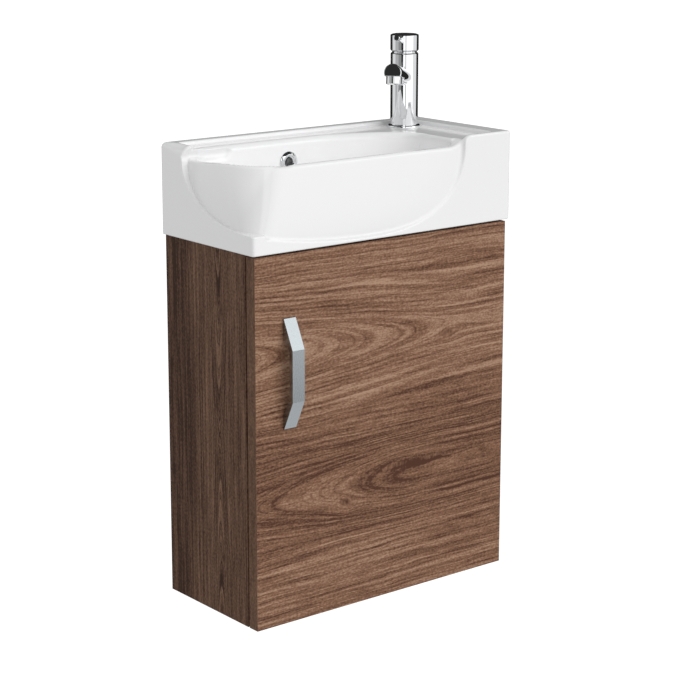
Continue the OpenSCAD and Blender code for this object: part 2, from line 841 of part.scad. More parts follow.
module left_line_2d() {
    reach = basin_d - carve_back;
    polygon(concat([[0, 0], [0, basin_h], [shoulder_y, basin_h]],
        [for (k = [carve_steps : -1 : 0]) let (t = sin(90 * k / carve_steps))
            [basin_d - reach * t, left_top - (left_top - carve_low_left) * super(t, 2)]],
        [[basin_d, 0]]));
}

slab_t = 0.1;
slab_sides = 32;

module rounded_slab(x0, x1, y0, y1, r_left, r_right, z) {
    translate([x0 + r_left, y0 + r_left, z]) cylinder(r = r_left, h = slab_t, $fn = slab_sides);
    translate([x0 + r_left, y1 - r_left, z]) cylinder(r = r_left, h = slab_t, $fn = slab_sides);
    translate([x1 - r_right, y0 + r_right, z]) cylinder(r = r_right, h = slab_t, $fn = slab_sides);
    translate([x1 - r_right, y1 - r_right, z]) cylinder(r = r_right, h = slab_t, $fn = slab_sides);
}

// Corner radii and insets of the tub and of the bowl, from the bottom up
tub_mid = basin_h * 0.4;
tub_over = 8;
tub_top = basin_h - rim_drop + tub_over;
tub_insets = [1.5, 3];
tub_corners = [12, 34, 58];
tub_hidden_r = 3;
tub_rear = -4;
bowl_mid = basin_h * 0.5;
bowl_draft = [4, 5, 3];
bowl_slope = [58, 52, 24, 26];
bowl_corners = [48, 46, 34];
bowl_right_corners = [66, 62, 34];

module tub_outside() hull() {
    rounded_slab(tub_insets[0] - basin_x, carve_right, tub_insets[0] - basin_d, tub_rear,
        tub_corners[0], tub_hidden_r, 0);
    rounded_slab(tub_insets[1] - basin_x, carve_right, tub_insets[1] - basin_d, tub_rear,
        tub_corners[1], tub_hidden_r, tub_mid);
    rounded_slab(rim_left, carve_right, rim_front, tub_rear, tub_corners[2], tub_hidden_r, tub_top);
}

module bowl_inside() hull() {
    rounded_slab(bowl_left, bowl_right, bowl_front, -bowl_back, bowl_corners[0], bowl_right_corners[0], basin_h + over);
    rounded_slab(bowl_left + bowl_draft[0], bowl_right - bowl_draft[1], bowl_front + bowl_draft[2], -bowl_back,
        bowl_corners[1], bowl_right_corners[1], bowl_mid);
    rounded_slab(bowl_left + bowl_slope[0], bowl_right - bowl_slope[1], bowl_front + bowl_slope[2],
        -bowl_back - bowl_slope[3], bowl_corners[2], bowl_right_corners[2], bowl_floor);
}

module basin_body() difference() {
    intersection() {
        span([-basin_x, -basin_d, 0], [basin_x, 0, basin_h]);
        union() {
            tub_outside();
            translate([0, strip_in - basin_d, 0]) rotate([90, 0, 0]) linear_extrude(strip_in) front_line_2d();
            translate([-basin_x, 0, 0]) mirror([0, 1, 0]) rotate([90, 0, 90]) linear_extrude(strip_in) left_line_2d();
            span([carve_right - over, -basin_d, 0], [basin_x, 0, basin_h]);
            span([-basin_x, -shoulder_y, 0], [basin_x, 0, basin_h]);
        }
    }
    bowl_inside();
    // Lowered rim at the left and at the front
    span([-basin_x - over, -basin_d - over, basin_h - rim_drop], [bowl_left + rim_cut[0], -shoulder_y, basin_h + over]);
    span([-basin_x - over, -basin_d - over, basin_h - rim_drop],
        [carve_right - rim_cut[1], bowl_front + rim_cut[1], basin_h + over]);
    // Tap deck inside the raised border
    span([bowl_left - deck_left, bowl_front, basin_h - deck_drop], [basin_x - border_side, -border_back, basin_h + over]);
    // Hollow underside
    span([wall_in - basin_x, wall_in - basin_d, -over], [basin_x - wall_in, -wall_in, under_hollow]);
    span([cavity_left, wall_in - basin_d, -over], [basin_x - wall_in, -wall_in, basin_h - deck_drop - glaze_t]);
}

module basin() color([0.93, 0.93, 0.93]) placed() difference() {
    translate([0, 0, cab_h]) basin_body();
    rod_z(tap_hole_r, cab_h, deck_z + over, tap_x, tap_y);
    rod_z(waste_hole_r, cab_h, floor_z + over, waste_x, waste_y);
    // Overflow hole and its channel down to the waste
    rod_y(overflow_r, -bowl_back - over, channel_back - over, overflow_x, overflow_z);
    span([overflow_x - channel_half, channel_front, under_z + channel_low],
        [overflow_x + channel_half, channel_back, overflow_z + channel_top]);
    span([overflow_x - channel_half, waste_y + channel_end, under_z + channel_low],
        [overflow_x + channel_half, channel_back, under_z + channel_high]);
}

module overflow_ring() color("silver") placed() translate([overflow_x, -bowl_back, overflow_z])
    rotate([90, 0, 0]) difference() {
        union() {
            rotate_extrude() polygon([[0, 0], [overflow_dia / 2, 0], [overflow_dia / 2, overflow_edge],
                [overflow_dia / 2 - overflow_bevel, overflow_lip], [0, overflow_lip]]);
            translate([0, 0, -overflow_spigot]) cylinder(r = overflow_r - fit, h = overflow_spigot + over);
        }
        translate([0, 0, -overflow_spigot - over])
            cylinder(r = overflow_r - overflow_wall - fit, h = overflow_spigot + overflow_lip + 2 * over);
    }

// Waste fitting with a push plug
module ring_z(r_out, r_in, low, high, x, y) difference() {
    rod_z(r_out, low, high, x, y);
    rod_z(r_in, low - over, high + over, x, y);
}

module waste_flange_seal() color([0.2, 0.2, 0.2]) placed()
    ring_z(flange_r - seal_in, waste_r + fit, floor_z, flange_z, waste_x, waste_y);

module waste_body() color("silver") placed() difference() {
    union() {
        rod_z(flange_r, flange_z, flange_z + flange_t, waste_x, waste_y);
        rod_z(waste_r, waste_low, flange_z + tiny, waste_x, waste_y);
    }
    difference() {
        rod_z(waste_r - waste_wall, waste_low - over, flange_z + flange_t + over, waste_x, waste_y);
        rod_z(guide_r, guide_z - guide_h, guide_z, waste_x, waste_y);
        for (a = [0, 60, 120]) translate([waste_x, waste_y, guide_z - guide_h / 2]) rotate([0, 0, a])
            cube([2 * waste_r, guide_arm_w, guide_h], center = true);
    }
    rod_z(plug_stem_r + fit, waste_low - over, flange_z + over, waste_x, waste_y);
    // Overflow ports between the two seals
    rod_x(port_r, waste_x - waste_r - over, waste_x + waste_r + over, waste_y, under_z + (channel_low + channel_high) / 2);
}

module waste_plug() color("silver") placed() {
    translate([waste_x, waste_y, flange_z + flange_t + slack]) rotate_extrude()
        polygon([[0, 0], [plug_r, 0], [plug_r, plug_edge], [plug_r - plug_bevel, plug_bevel_z],
            [plug_r / 2, plug_dome_z], [0, plug_t]]);
    rod_z(plug_stem_r, collar_z - collar_h, flange_z + flange_t + slack + tiny, waste_x, waste_y);
    // Collar that stops the plug at the top of its travel
    rod_z(collar_r, collar_z - collar_h, collar_z, waste_x, waste_y);
}

module waste_seal() color([0.2, 0.2, 0.2]) placed()
    ring_z(waste_nut_r, waste_r + fit, under_z - under_seal_t, under_z, waste_x, waste_y);

module waste_nut() color([0.8, 0.8, 0.8]) placed() difference() {
    union() {
        rod_z(waste_nut_r - waste_lug_r / 3, under_z - under_seal_t - waste_nut_h, under_z - under_seal_t, waste_x, waste_y);
        for (a = [0 : 45 : 315]) translate([waste_x, waste_y, under_z - under_seal_t - waste_nut_h]) rotate([0, 0, a])
            translate([waste_nut_r - 2 * waste_lug_r / 3, 0, 0]) cylinder(r = waste_lug_r, h = waste_nut_h);
    }
    rod_z(waste_r + fit, waste_low, floor_z, waste_x, waste_y);
}

// Bottle trap
module trap_nut() color("silver") placed() difference() {
    union() {
        rod_z(trap_nut_r, trap_top, trap_top + trap_nut_h, waste_x, waste_y);
        rod_z(trap_nut_r + trap_bead_r, trap_top, trap_top + trap_bead_h, waste_x, waste_y);
    }
    rod_z(waste_r + fit, trap_top - over, trap_top + trap_nut_h + over, waste_x, waste_y);
}

module trap_body() color("silver") placed() difference() {
    union() {
        rod_z(trap_r, trap_low + trap_cup_h / 2, trap_cone_z, waste_x, waste_y);
        translate([waste_x, waste_y, trap_cone_z]) cylinder(r1 = trap_r, r2 = trap_neck_r, h = trap_cone_h);
        rod_z(trap_neck_r, trap_top - trap_neck_h, trap_top, waste_x, waste_y);
        rod_y(outlet_r + socket_wall, waste_y, outlet_root, waste_x, outlet_z);
    }
    rod_z(trap_r - trap_wall, trap_low, trap_cone_z - trap_roof, waste_x, waste_y);
    rod_z(waste_r + fit, waste_low - fit, trap_top + over, waste_x, waste_y);
    rod_z(dip_r + fit, trap_cone_z - trap_roof - over, trap_top, waste_x, waste_y);
    rod_y(outlet_r - outlet_wall, waste_y, outlet_root + over, waste_x, outlet_z);
    rod_y(outlet_neck_r + fit, outlet_root - outlet_bite, outlet_root + over, waste_x, outlet_z);
}

module trap_dip_tube() color([0.85, 0.85, 0.85]) placed() difference() {
    union() {
        rod_z(dip_r, dip_low, waste_low - fit, waste_x, waste_y);
        rod_z(dip_r + dip_flange, trap_cone_z - trap_roof - dip_flange_t, trap_cone_z - trap_roof, waste_x, waste_y);
    }
    rod_z(dip_r - dip_wall, dip_low - over, waste_low + over, waste_x, waste_y);
}

module trap_cup() color("silver") placed() difference() {
    rod_z(trap_r + trap_cup_t, trap_low, trap_low + trap_cup_h, waste_x, waste_y);
    rod_z(trap_r + fit, trap_low + trap_cup_h / 2, trap_low + trap_cup_h + over, waste_x, waste_y);
    rod_z(trap_r - trap_wall, trap_low + trap_floor, trap_low + trap_cup_h, waste_x, waste_y);
}

module trap_outlet_nut() color("silver") placed() difference() {
    rod_y(outlet_nut_r, outlet_root, outlet_nut_end, waste_x, outlet_z);
    rod_y(outlet_neck_r + fit, outlet_root - over, outlet_nut_end + over, waste_x, outlet_z);
}

module trap_outlet() color("silver") placed() difference() {
    union() {
        rod_y(outlet_r, outlet_nut_end, 0, waste_x, outlet_z);
        rod_y(outlet_neck_r, outlet_root - outlet_bite, outlet_nut_end + tiny, waste_x, outlet_z);
    }
    rod_y(outlet_r - outlet_wall, outlet_root - outlet_bite - over, over, waste_x, outlet_z);
}

// Tap
module tap_base_ring() color("silver") placed() at_tap() difference() {
    rotate_extrude() polygon([[0, 0], [ring_r, 0], [ring_r, ring_edge], [ring_r - ring_bevel, ring_t], [0, ring_t]]);
    rod_z(tap_r + fit, -over, ring_t + over, 0, 0);
}

module spout_axis(from, to, r) along_spout() translate([0, 0, spout_z]) rotate([0, 90 - spout_rise, 0])
    translate([0, 0, from]) cylinder(r = r, h = to - from);

module tap_body() color("silver") placed() at_tap() difference() {
    union() {
        rod_z(tap_r, tap_foot_t, tap_groove - groove_w, 0, 0);
        rod_z(shank_r, -shank_l, tap_foot_t + tiny, 0, 0);
    }
    translate([0, 0, pivot_z]) sphere(r = cap_ball_r + slack);
    rod_z(cartridge_bore_r, cartridge_z, tap_groove, 0, 0);
    rod_z(chamber_r, chamber_z, cartridge_z + tiny, 0, 0);
    along_spout() rod_x(passage_r, 0, tap_r + over, 0, chamber_z + passage_rise);
    along_spout() for (s = [-1, 1]) {
        rod_z(inlet_r, -shank_l - over, inlet_l - shank_l, inlet_x, s * inlet_y);
        rod_z(channel_r, inlet_l - shank_l - tiny, chamber_z + tiny, inlet_x, s * inlet_y);
    }
    along_spout() rod_z(stud_r + fit, -shank_l - over, stud_bite - shank_l, stud_x, 0);
}

module tap_spout() color("silver") placed() at_tap() difference() {
    spout_axis(0, spout_l, spout_r);
    rod_z(tap_r + tiny, 0, tap_h, 0, 0);
    spout_axis(-over, spout_l - spout_end, spout_bore);
    // Flat underside at the spout's end
    along_spout() translate([0, 0, spout_z]) rotate([0, -spout_rise, 0])
        span([spout_l - spout_flat_l, -spout_r - over, -spout_r - over], [spout_l + over, spout_r + over, -spout_flat]);
}

module tap_aerator() color("silver") placed() at_tap() along_spout() translate([0, 0, spout_z]) rotate([0, -spout_rise, 0])
    translate([spout_l - aerator_back, 0, -spout_flat - aerator_h]) difference() {
        cylinder(r = aerator_r, h = aerator_h);
        translate([0, 0, -over]) cylinder(r = aerator_bore, h = aerator_recess + over);
    }

module tap_cartridge() color([0.9, 0.9, 0.86]) placed() at_tap() difference() {
    union() {
        rod_z(cartridge_bore_r - slack, cartridge_z, cartridge_z + cartridge_flange, 0, 0);
        rod_z(cartridge_r, cartridge_z, cartridge_top, 0, 0);
    }
    rod_z(stem_r + fit, cartridge_z + stem_seat, cartridge_top + over, 0, 0);
}

module tap_cartridge_nut() color([0.8, 0.7, 0.4]) placed() at_tap() difference() {
    rod_z(cartridge_bore_r - fit, cartridge_z + cartridge_flange, cartridge_top, 0, 0);
    rod_z(cartridge_r + fit, cartridge_z + cartridge_nut_low, cartridge_top + over, 0, 0);
}

module tap_stem() color([0.8, 0.7, 0.4]) placed() at_tap() difference() {
    rod_z(stem_r, cartridge_z + stem_seat + stem_play, pivot_z + stem_top, 0, 0);
    along_spout() rod_y(pivot_pin_r + fit, -stem_r - over, stem_r + over, 0, pivot_z);
}

module tap_pivot_pin() color([0.75, 0.75, 0.77]) placed() at_tap() along_spout()
    rod_y(pivot_pin_r, -pivot_pin_half, pivot_pin_half, 0, pivot_z);

module tap_cap() color("silver") placed() at_tap() difference() {
    intersection() {
        union() {
            rod_z(tap_r, tap_groove - cap_skirt, tap_h - cap_dome_h, 0, 0);
            translate([0, 0, tap_h - cap_dome_h]) cylinder(r1 = tap_r, r2 = tap_r - cap_dome_in, h = cap_dome_h);
        }
        translate([0, 0, pivot_z]) sphere(r = cap_ball_r);
    }
    difference() {
        rod_z(tap_r - cap_wall, 0, tap_h - cap_top_t, 0, 0);
        difference() {
            rod_z(boss_r, pivot_z - boss_low, tap_h, 0, 0);
            along_spout() span([-boss_r - over, -slot_half, pivot_z - boss_low - over], [boss_r + over, slot_half, tap_h]);
        }
    }
    along_spout() rod_y(pivot_pin_r + tiny, -pivot_pin_half - tiny, pivot_pin_half + tiny, 0, pivot_z);
    lever_rod(fit);
}

module lever_rod(gap) along_spout() translate([0, 0, lever_z]) rotate([0, 90 - lever_rise, 0])
    translate([0, 0, tap_r - cap_wall - lever_bite - gap])
    cylinder(r = lever_r + gap, h = lever_l - tap_r + cap_wall + lever_bite + 2 * gap);

module tap_lever() color("silver") placed() at_tap() lever_rod(0);

module tap_stud() color([0.8, 0.7, 0.4]) placed() at_tap() along_spout()
    rod_z(stud_r, -shank_l - stud_l, stud_bite - shank_l - fit, stud_x, 0);

module tap_washer() color([0.2, 0.2, 0.2]) placed() at_tap() along_spout() difference() {
    rod_z(washer_r, -glaze_t - washer_t, -glaze_t, 0, 0);
    rod_z(stud_r + fit, -glaze_t - washer_t - over, over - glaze_t, stud_x, 0);
    // Open side that the supply tails pass through
    span([washer_open_x, -washer_open_half, -glaze_t - washer_t - over],
        [washer_r + over, washer_open_half, over - glaze_t]);
}

module tap_nut() color([0.8, 0.7, 0.4]) placed() at_tap() along_spout() difference() {
    translate([stud_x, 0, -glaze_t - washer_t - nut_h]) cylinder(r = nut_r, h = nut_h, $fn = 6);
    rod_z(stud_r + fit, -glaze_t - washer_t - nut_h - over, over - glaze_t, stud_x, 0);
}

side_panel_left();
side_panel_right();
bottom_panel();
front_rail();
hanging_rail();
lower_rail();
shelf();
shelf_pins();
cam_locks();
cam_bolts();
wood_dowels();
hanger_left();
hanger_right();
hanger_hook_left();
hanger_hook_right();
wall_plate_left();
wall_plate_right();
hanger_screws();
hinge_plate_top();
hinge_plate_bottom();
hinge_arm_top();
hinge_arm_bottom();
hinge_cup_top();
hinge_cup_bottom();
hinge_pin_top();
hinge_pin_bottom();
hinge_plate_screws();
hinge_arm_screws();
hinge_cup_screws();
door_panel();
door_bumpers();
door_handle();
handle_screws();
basin();
overflow_ring();
waste_flange_seal();
waste_body();
waste_plug();
waste_seal();
waste_nut();
trap_nut();
trap_body();
trap_dip_tube();
trap_cup();
trap_outlet_nut();
trap_outlet();
tap_base_ring();
tap_body();
tap_spout();
tap_aerator();
tap_cartridge();
tap_cartridge_nut();
tap_stem();
tap_pivot_pin();
tap_cap();
tap_lever();
tap_stud();
tap_washer();
tap_nut();
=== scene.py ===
"""Looks for the wall-hung cloakroom vanity unit.

Shapes are worked out in millimetres and put into Blender in metres. The basin's own
coordinates start at the wall, in the middle of its underside.
"""

import json
import math

import bmesh
import bpy
import numpy as np
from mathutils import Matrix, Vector


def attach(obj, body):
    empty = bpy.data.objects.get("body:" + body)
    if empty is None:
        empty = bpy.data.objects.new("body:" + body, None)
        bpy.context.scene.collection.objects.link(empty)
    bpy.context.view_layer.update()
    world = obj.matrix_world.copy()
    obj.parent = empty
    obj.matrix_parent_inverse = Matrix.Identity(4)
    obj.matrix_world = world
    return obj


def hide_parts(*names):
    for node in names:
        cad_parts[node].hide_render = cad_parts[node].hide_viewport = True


MM = 0.001

# Camera
LENS = 104.63
SENSOR = 36.0
CAMERA_AT = (-1.6703, -2.1992, 0.5516)
CAMERA_TILT = 77.86
CAMERA_TURN = -38.492
SHIFT_Y = -0.08

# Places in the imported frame, in millimetres
CAB_LOW = -454.5
CAB_H = 511.0
CAB_D = 183.0
CAB_HALF = 220.0
BASIN_LOW = CAB_LOW + CAB_H
TAP = (165.0, -46.0)
# Above the basin's underside
DECK = 120.0
TAP_LOW = BASIN_LOW + DECK
# Basin: half its width, its depth, its height and the height of the bowl's rim
BASIN_HALF = 225.0
BASIN_D = 208.0
BASIN_H = 126.0
RIM = 111.0
WASTE = (-38.0, -120.0)
OVERFLOW = (-48.0, 88.0)


def make_camera():
    """The photo's viewing angle, on a square frame."""
    data = bpy.data.cameras.new("camera")
    data.lens = LENS
    data.sensor_width = SENSOR
    data.shift_y = SHIFT_Y
    data.clip_end = 400.0
    cam = bpy.data.objects.new("camera", data)
    cam.location = CAMERA_AT
    cam.rotation_euler = (math.radians(CAMERA_TILT), 0.0, math.radians(CAMERA_TURN))
    bpy.context.scene.collection.objects.link(cam)
    bpy.context.scene.camera = cam


make_camera()
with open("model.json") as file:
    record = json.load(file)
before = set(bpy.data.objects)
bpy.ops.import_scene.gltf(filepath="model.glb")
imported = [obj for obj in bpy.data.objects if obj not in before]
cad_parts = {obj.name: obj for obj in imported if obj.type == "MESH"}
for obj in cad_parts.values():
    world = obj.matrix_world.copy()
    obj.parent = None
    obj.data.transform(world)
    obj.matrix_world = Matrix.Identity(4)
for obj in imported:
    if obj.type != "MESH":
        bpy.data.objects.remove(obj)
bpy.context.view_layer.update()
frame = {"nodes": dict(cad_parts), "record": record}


# Node helpers


class Graph:
    """A material with short calls for its nodes. Plain numbers and sockets can be mixed."""

    def __init__(self, name):
        self.mat = bpy.data.materials.new(name)
        self.mat.use_nodes = True
        self.tree = self.mat.node_tree
        self.bsdf = self.tree.nodes["Principled BSDF"]

    def new(self, kind, **props):
        n = self.tree.nodes.new(kind)
        for key, value in props.items():
            setattr(n, key, value)
        return n

    def put(self, socket, value):
        if isinstance(value, bpy.types.NodeSocket):
            self.tree.links.new(value, socket)
        elif value is not None:
            socket.default_value = value

    def math(self, op, a, b=None, c=None):
        n = self.new("ShaderNodeMath", operation=op)
        for k, v in enumerate((a, b, c)):
            self.put(n.inputs[k], v)
        return n.outputs[0]

    def add(self, a, b):
        return self.math("ADD", a, b)

    def sub(self, a, b):
        return self.math("SUBTRACT", a, b)

    def mul(self, a, b):
        return self.math("MULTIPLY", a, b)

    def div(self, a, b):
        return self.math("DIVIDE", a, b)

    def join(self, x, y, z):
        n = self.new("ShaderNodeCombineXYZ")
        for k, v in enumerate((x, y, z)):
            self.put(n.inputs[k], v)
        return n.outputs[0]

    def place(self):
        """Object coordinates in millimetres as three sockets."""
        tex = self.new("ShaderNodeTexCoord")
        scale = self.new("ShaderNodeVectorMath", operation="SCALE")
        self.put(scale.inputs[0], tex.outputs["Object"])
        scale.inputs["Scale"].default_value = 1000.0
        split = self.new("ShaderNodeSeparateXYZ")
        self.put(split.inputs[0], scale.outputs[0])
        return split.outputs[0], split.outputs[1], split.outputs[2]

    def noise(self, vector, scale=1.0, detail=2.0, rough=0.5):
        n = self.new("ShaderNodeTexNoise")
        self.put(n.inputs["Vector"], vector)
        n.inputs["Scale"].default_value = scale
        n.inputs["Detail"].default_value = detail
        n.inputs["Roughness"].default_value = rough
        return n.outputs["Fac"]

    def ramp(self, value, stops):
        n = self.new("ShaderNodeValToRGB")
        els = n.color_ramp.elements
        while len(els) < len(stops):
            els.new(0.5)
        for el, (pos, col) in zip(els, stops):
            el.position = pos
            if not isinstance(col, (tuple, list)):
                col = (col, col, col)
            el.color = (*col, 1.0)
        self.put(n.inputs[0], value)
        return n.outputs[0]

    def span(self, value, low, high, to_low=0.0, to_high=1.0, smooth=True):
        n = self.new("ShaderNodeMapRange")
        n.interpolation_type = "SMOOTHSTEP" if smooth else "LINEAR"
        for k, v in enumerate((value, low, high, to_low, to_high)):
            self.put(n.inputs[k], v)
        return n.outputs[0]

    def bell(self, value, middle, width):
        """A bump of height 1 at middle."""
        d = self.div(self.sub(value, middle), width)
        return self.math("EXPONENT", self.mul(self.mul(d, d), -1.0))

    def mix(self, fac, a, b):
        n = self.new("ShaderNodeMix", data_type="RGBA")
        n.clamp_factor = True
        self.put(n.inputs[0], fac)
        for socket, v in ((n.inputs[6], a), (n.inputs[7], b)):
            if isinstance(v, tuple) and len(v) == 3:
                v = (*v, 1.0)
            self.put(socket, v)
        return n.outputs[2]

    def bump(self, height, strength, distance):
        n = self.new("ShaderNodeBump")
        n.inputs["Strength"].default_value = strength
        n.inputs["Distance"].default_value = distance
        self.put(n.inputs["Height"], height)
        self.put(self.bsdf.inputs["Normal"], n.outputs[0])

    def set(self, **values):
        for key, v in values.items():
            if isinstance(v, tuple) and len(v) == 3:
                v = (*v, 1.0)
            self.put(self.bsdf.inputs[key.replace("_", " ")], v)


def srgb(r, g, b):
    """Linear colour from the 0-255 values of a picture."""
    out = []
    for v in (r, g, b):
        v = v / 255.0
        out.append(v / 12.92 if v <= 0.04045 else ((v + 0.055) / 1.055) ** 2.4)
    return tuple(out)


# Grain: sizes and places in millimetres from the panel's lower left corner, tones from 0 to 1

# How fine across, how fine along, seed, detail and depth of each layer of pores
PORES = ((0.16, 0.005, 7.7, 2.0, 0.6), (0.42, 0.03, 4.9, 3.0, 0.9), (0.5, 0.25, 2.2, 1.0, 1.0))

# The door: height of the upper flame's axis and of the lower one's, and where one gives way to the other
UPPER_AXIS = 375.0
LOWER_AXIS = 171.0
PART_LOW = 250.0
PART_HIGH = 290.0
# Place and reach of each knot that bends the grain
DOOR_KNOTS = (((335.0, 362.0), (30.0, 15.0)), ((265.0, 184.0), (60.0, 11.0)), ((152.0, 150.0), (20.0, 12.0)))
# Tone of the door by its share of the height
DOOR_BANDS = ((0.0, 0.47), (0.08, 0.56), (0.17, 0.44), (0.25, 0.37), (0.49, 0.35), (0.54, 0.42), (0.6, 0.64),
              (0.75, 0.6), (0.9, 0.57), (0.96, 0.52), (1.0, 0.46))
# Place, size and depth of each mark
DOOR_MARKS = (((335.0, 362.0), (9.0, 3.6), 0.42), ((265.0, 184.0), (14.0, 3.2), 0.34),
              ((152.0, 150.0), (6.0, 4.5), 0.28), ((35.0, 172.0), (6.0, 2.2), 0.2),
              ((402.0, 180.0), (9.0, 4.0), 0.26), ((80.0, 168.0), (60.0, 7.0), -0.1))

# The side panel: height and depth at which its arches meet
SIDE_MIDDLE = 255.0
SIDE_AXIS = 61.0
# Tone of the side panel by its share of the depth, from the front
SIDE_BANDS = ((0.0, 0.55), (0.3, 0.55), (0.55, 0.56), (0.65, 0.44), (0.76, 0.16), (0.86, 0.24), (1.0, 0.18))
SIDE_MARKS = (((67.0, 40.0), (3.0, 7.0), 0.35), ((54.0, 172.0), (3.0, 6.0), 0.35),
              ((173.0, 75.0), (4.0, 9.0), 0.4), ((22.0, 120.0), (1.5, 300.0), -0.14),
              ((90.0, 120.0), (2.0, 300.0), -0.14))


def rings(g, field, along, seed):
    """Tone of growth rings: soft bands with thin dark lines. field counts across the rings."""
    soft = g.noise(g.join(g.mul(field, 0.028), g.mul(along, 0.004), seed), detail=3.0, rough=0.55)
    thin = g.noise(g.join(g.mul(field, 0.033), g.mul(along, 0.003), seed + 4.0), detail=1.0)
    line = g.span(g.math("ABSOLUTE", g.sub(thin, 0.5)), 0.0, 0.05, 1.0, 0.0)
    return g.sub(g.mul(g.sub(soft, 0.5), 1.7), g.mul(line, 0.26))


def pores(g, across, along):
    """Streaks along the grain, from long soft ones to short fine ones."""
    tone = 0.0
    for fine, length, seed, detail, deep in PORES:
        streak = g.noise(g.join(g.mul(across, fine), g.mul(along, length), seed), detail=detail, rough=0.65)
        tone = g.add(tone, g.mul(g.sub(streak, 0.5), deep))
    return tone


def spot(g, u, v, at, size):
    """A soft oval of height 1."""
    return g.mul(g.bell(u, at[0], size[0]), g.bell(v, at[1], size[1]))


def arch(g, distance, flat_from, steep):
    """Parabola of a distance that goes on as a straight line from flat_from outwards."""
    far = g.math("MAXIMUM", g.sub(distance, flat_from), 0.0)
    return g.mul(g.sub(g.mul(distance, distance), g.mul(far, far)), steep)


def door_figure(g, along, across):
    """Horizontal grain: flames that point right above the middle and left below it, with knots."""
    wave = g.noise(g.join(g.mul(along, 0.006), g.mul(across, 0.018), 3.1), detail=2.0)
    level = g.add(across, g.mul(g.sub(wave, 0.5), 12.0))
    for knot, size in DOOR_KNOTS:
        push = g.mul(g.mul(g.sub(across, knot[1]), 0.75), spot(g, along, across, knot, size))
        level = g.sub(level, push)
    up = g.math("ABSOLUTE", g.sub(level, UPPER_AXIS))
    reach = g.math("SMOOTH_MIN", along, 330.0, 60.0)
    upper = g.add(arch(g, up, 45.0, 0.137), g.mul(reach, g.span(up, 45.0, 110.0, 1.0, 0.0)))
    low = g.math("ABSOLUTE", g.sub(level, LOWER_AXIS))
    reach = g.math("SMOOTH_MIN", along, 250.0, 60.0)
    lower = g.sub(g.mul(reach, g.span(low, 35.0, 80.0, 1.0, 0.0)), arch(g, low, 36.0, 0.125))
    tone = g.add(g.mul(rings(g, upper, along, 0.7), g.span(across, PART_LOW, PART_HIGH)),
                 g.mul(rings(g, lower, along, 5.3), g.span(across, PART_LOW, PART_HIGH, 1.0, 0.0)))
    tone = g.add(g.add(tone, g.ramp(g.div(across, CAB_H), DOOR_BANDS)), pores(g, level, along))
    wavy = g.add(across, g.mul(g.sub(g.noise(g.join(g.mul(along, 0.03), 0.0, 8.1), detail=2.0), 0.5), 10.0))
    # Two dark streaks in the lower flame
    ends = g.mul(g.span(along, 200.0, 240.0), g.span(along, 320.0, 360.0, 1.0, 0.0))
    streak = g.mul(g.bell(wavy, 181.0, 2.0), ends)
    tone = g.sub(tone, g.mul(streak, 0.35))
    streak = g.mul(g.bell(wavy, 133.0, 1.6), g.span(along, 290.0, 350.0))
    tone = g.sub(tone, g.mul(streak, 0.3))
    for at, size, deep in DOOR_MARKS:
        tone = g.sub(tone, g.mul(spot(g, along, wavy, at, size), deep))
    return tone


def side_figure(g, along, across):
    """Upright grain: arches that point to the panel's middle from above and below."""
    wave = g.noise(g.join(g.mul(along, 0.008), g.mul(across, 0.03), 3.1), detail=2.0)
    level = g.add(across, g.mul(g.sub(wave, 0.5), 7.0))
    half = g.math("ABSOLUTE", g.sub(along, SIDE_MIDDLE))
    off = g.math("ABSOLUTE", g.sub(level, SIDE_AXIS))
    field = g.sub(half, arch(g, off, 9.0, 0.9))
    near = g.bell(level, SIDE_AXIS, 26.0)
    tone = g.mul(rings(g, g.mul(field, 1.7), half, 1.9), g.mul(near, 1.7))
    tone = g.add(tone, g.mul(rings(g, g.mul(level, 8.0), half, 6.4), g.sub(1.0, near)))
    tone = g.add(g.add(tone, g.ramp(g.div(across, CAB_D), SIDE_BANDS)), pores(g, level, along))
    for at, size, deep in SIDE_MARKS:
        tone = g.sub(tone, g.mul(spot(g, across, half, at, size), deep))
    return tone


def wood(name, kind, dark, mid, light):
    """Walnut foil. kind says which way the grain runs and which figure it has."""
    g = Graph(name)
    x, y, z = g.place()
    high = g.sub(z, CAB_LOW)
    if kind == "door":
        tone = door_figure(g, g.add(x, CAB_HALF), high)
    elif kind == "side":
        tone = side_figure(g, high, g.add(y, CAB_D))
    else:
        across = g.add(y, z)
        tone = g.add(g.add(rings(g, g.mul(across, 9.0), x, 4.4), pores(g, across, x)), 0.5)
    colour = g.ramp(tone, [(0.0, dark), (0.5, mid), (1.0, light)])
    if kind == "door":
        # The door's left edge has upright grain in the side panel's tones
        upright = g.ramp(g.add(pores(g, y, high), 0.55), [(0.0, SIDE[0]), (0.5, SIDE[1]), (1.0, SIDE[2])])
        colour = g.mix(g.span(x, 0.05 - CAB_HALF, 0.5 - CAB_HALF, 1.0, 0.0), colour, upright)
    g.put(g.bsdf.inputs["Base Color"], colour)
    g.put(g.bsdf.inputs["Roughness"], g.span(tone, 0.0, 1.0, 0.58, 0.48, smooth=False))
    g.set(Specular_IOR_Level=0.1)
    g.bump(tone, 0.2, 0.0002)
    return g.mat


def metal(name, colour, rough):
    """Polished or brushed metal whose gloss varies in upright streaks."""
    g = Graph(name)
    g.set(Base_Color=colour, Metallic=1.0)
    x, y, z = g.place()
    n = g.noise(g.join(g.mul(x, 3.0), g.mul(y, 3.0), g.mul(z, 0.05)), detail=2.0)
    g.put(g.bsdf.inputs["Roughness"], g.span(n, 0.3, 0.7, rough * 0.85, rough * 1.15, smooth=False))
    return g.mat


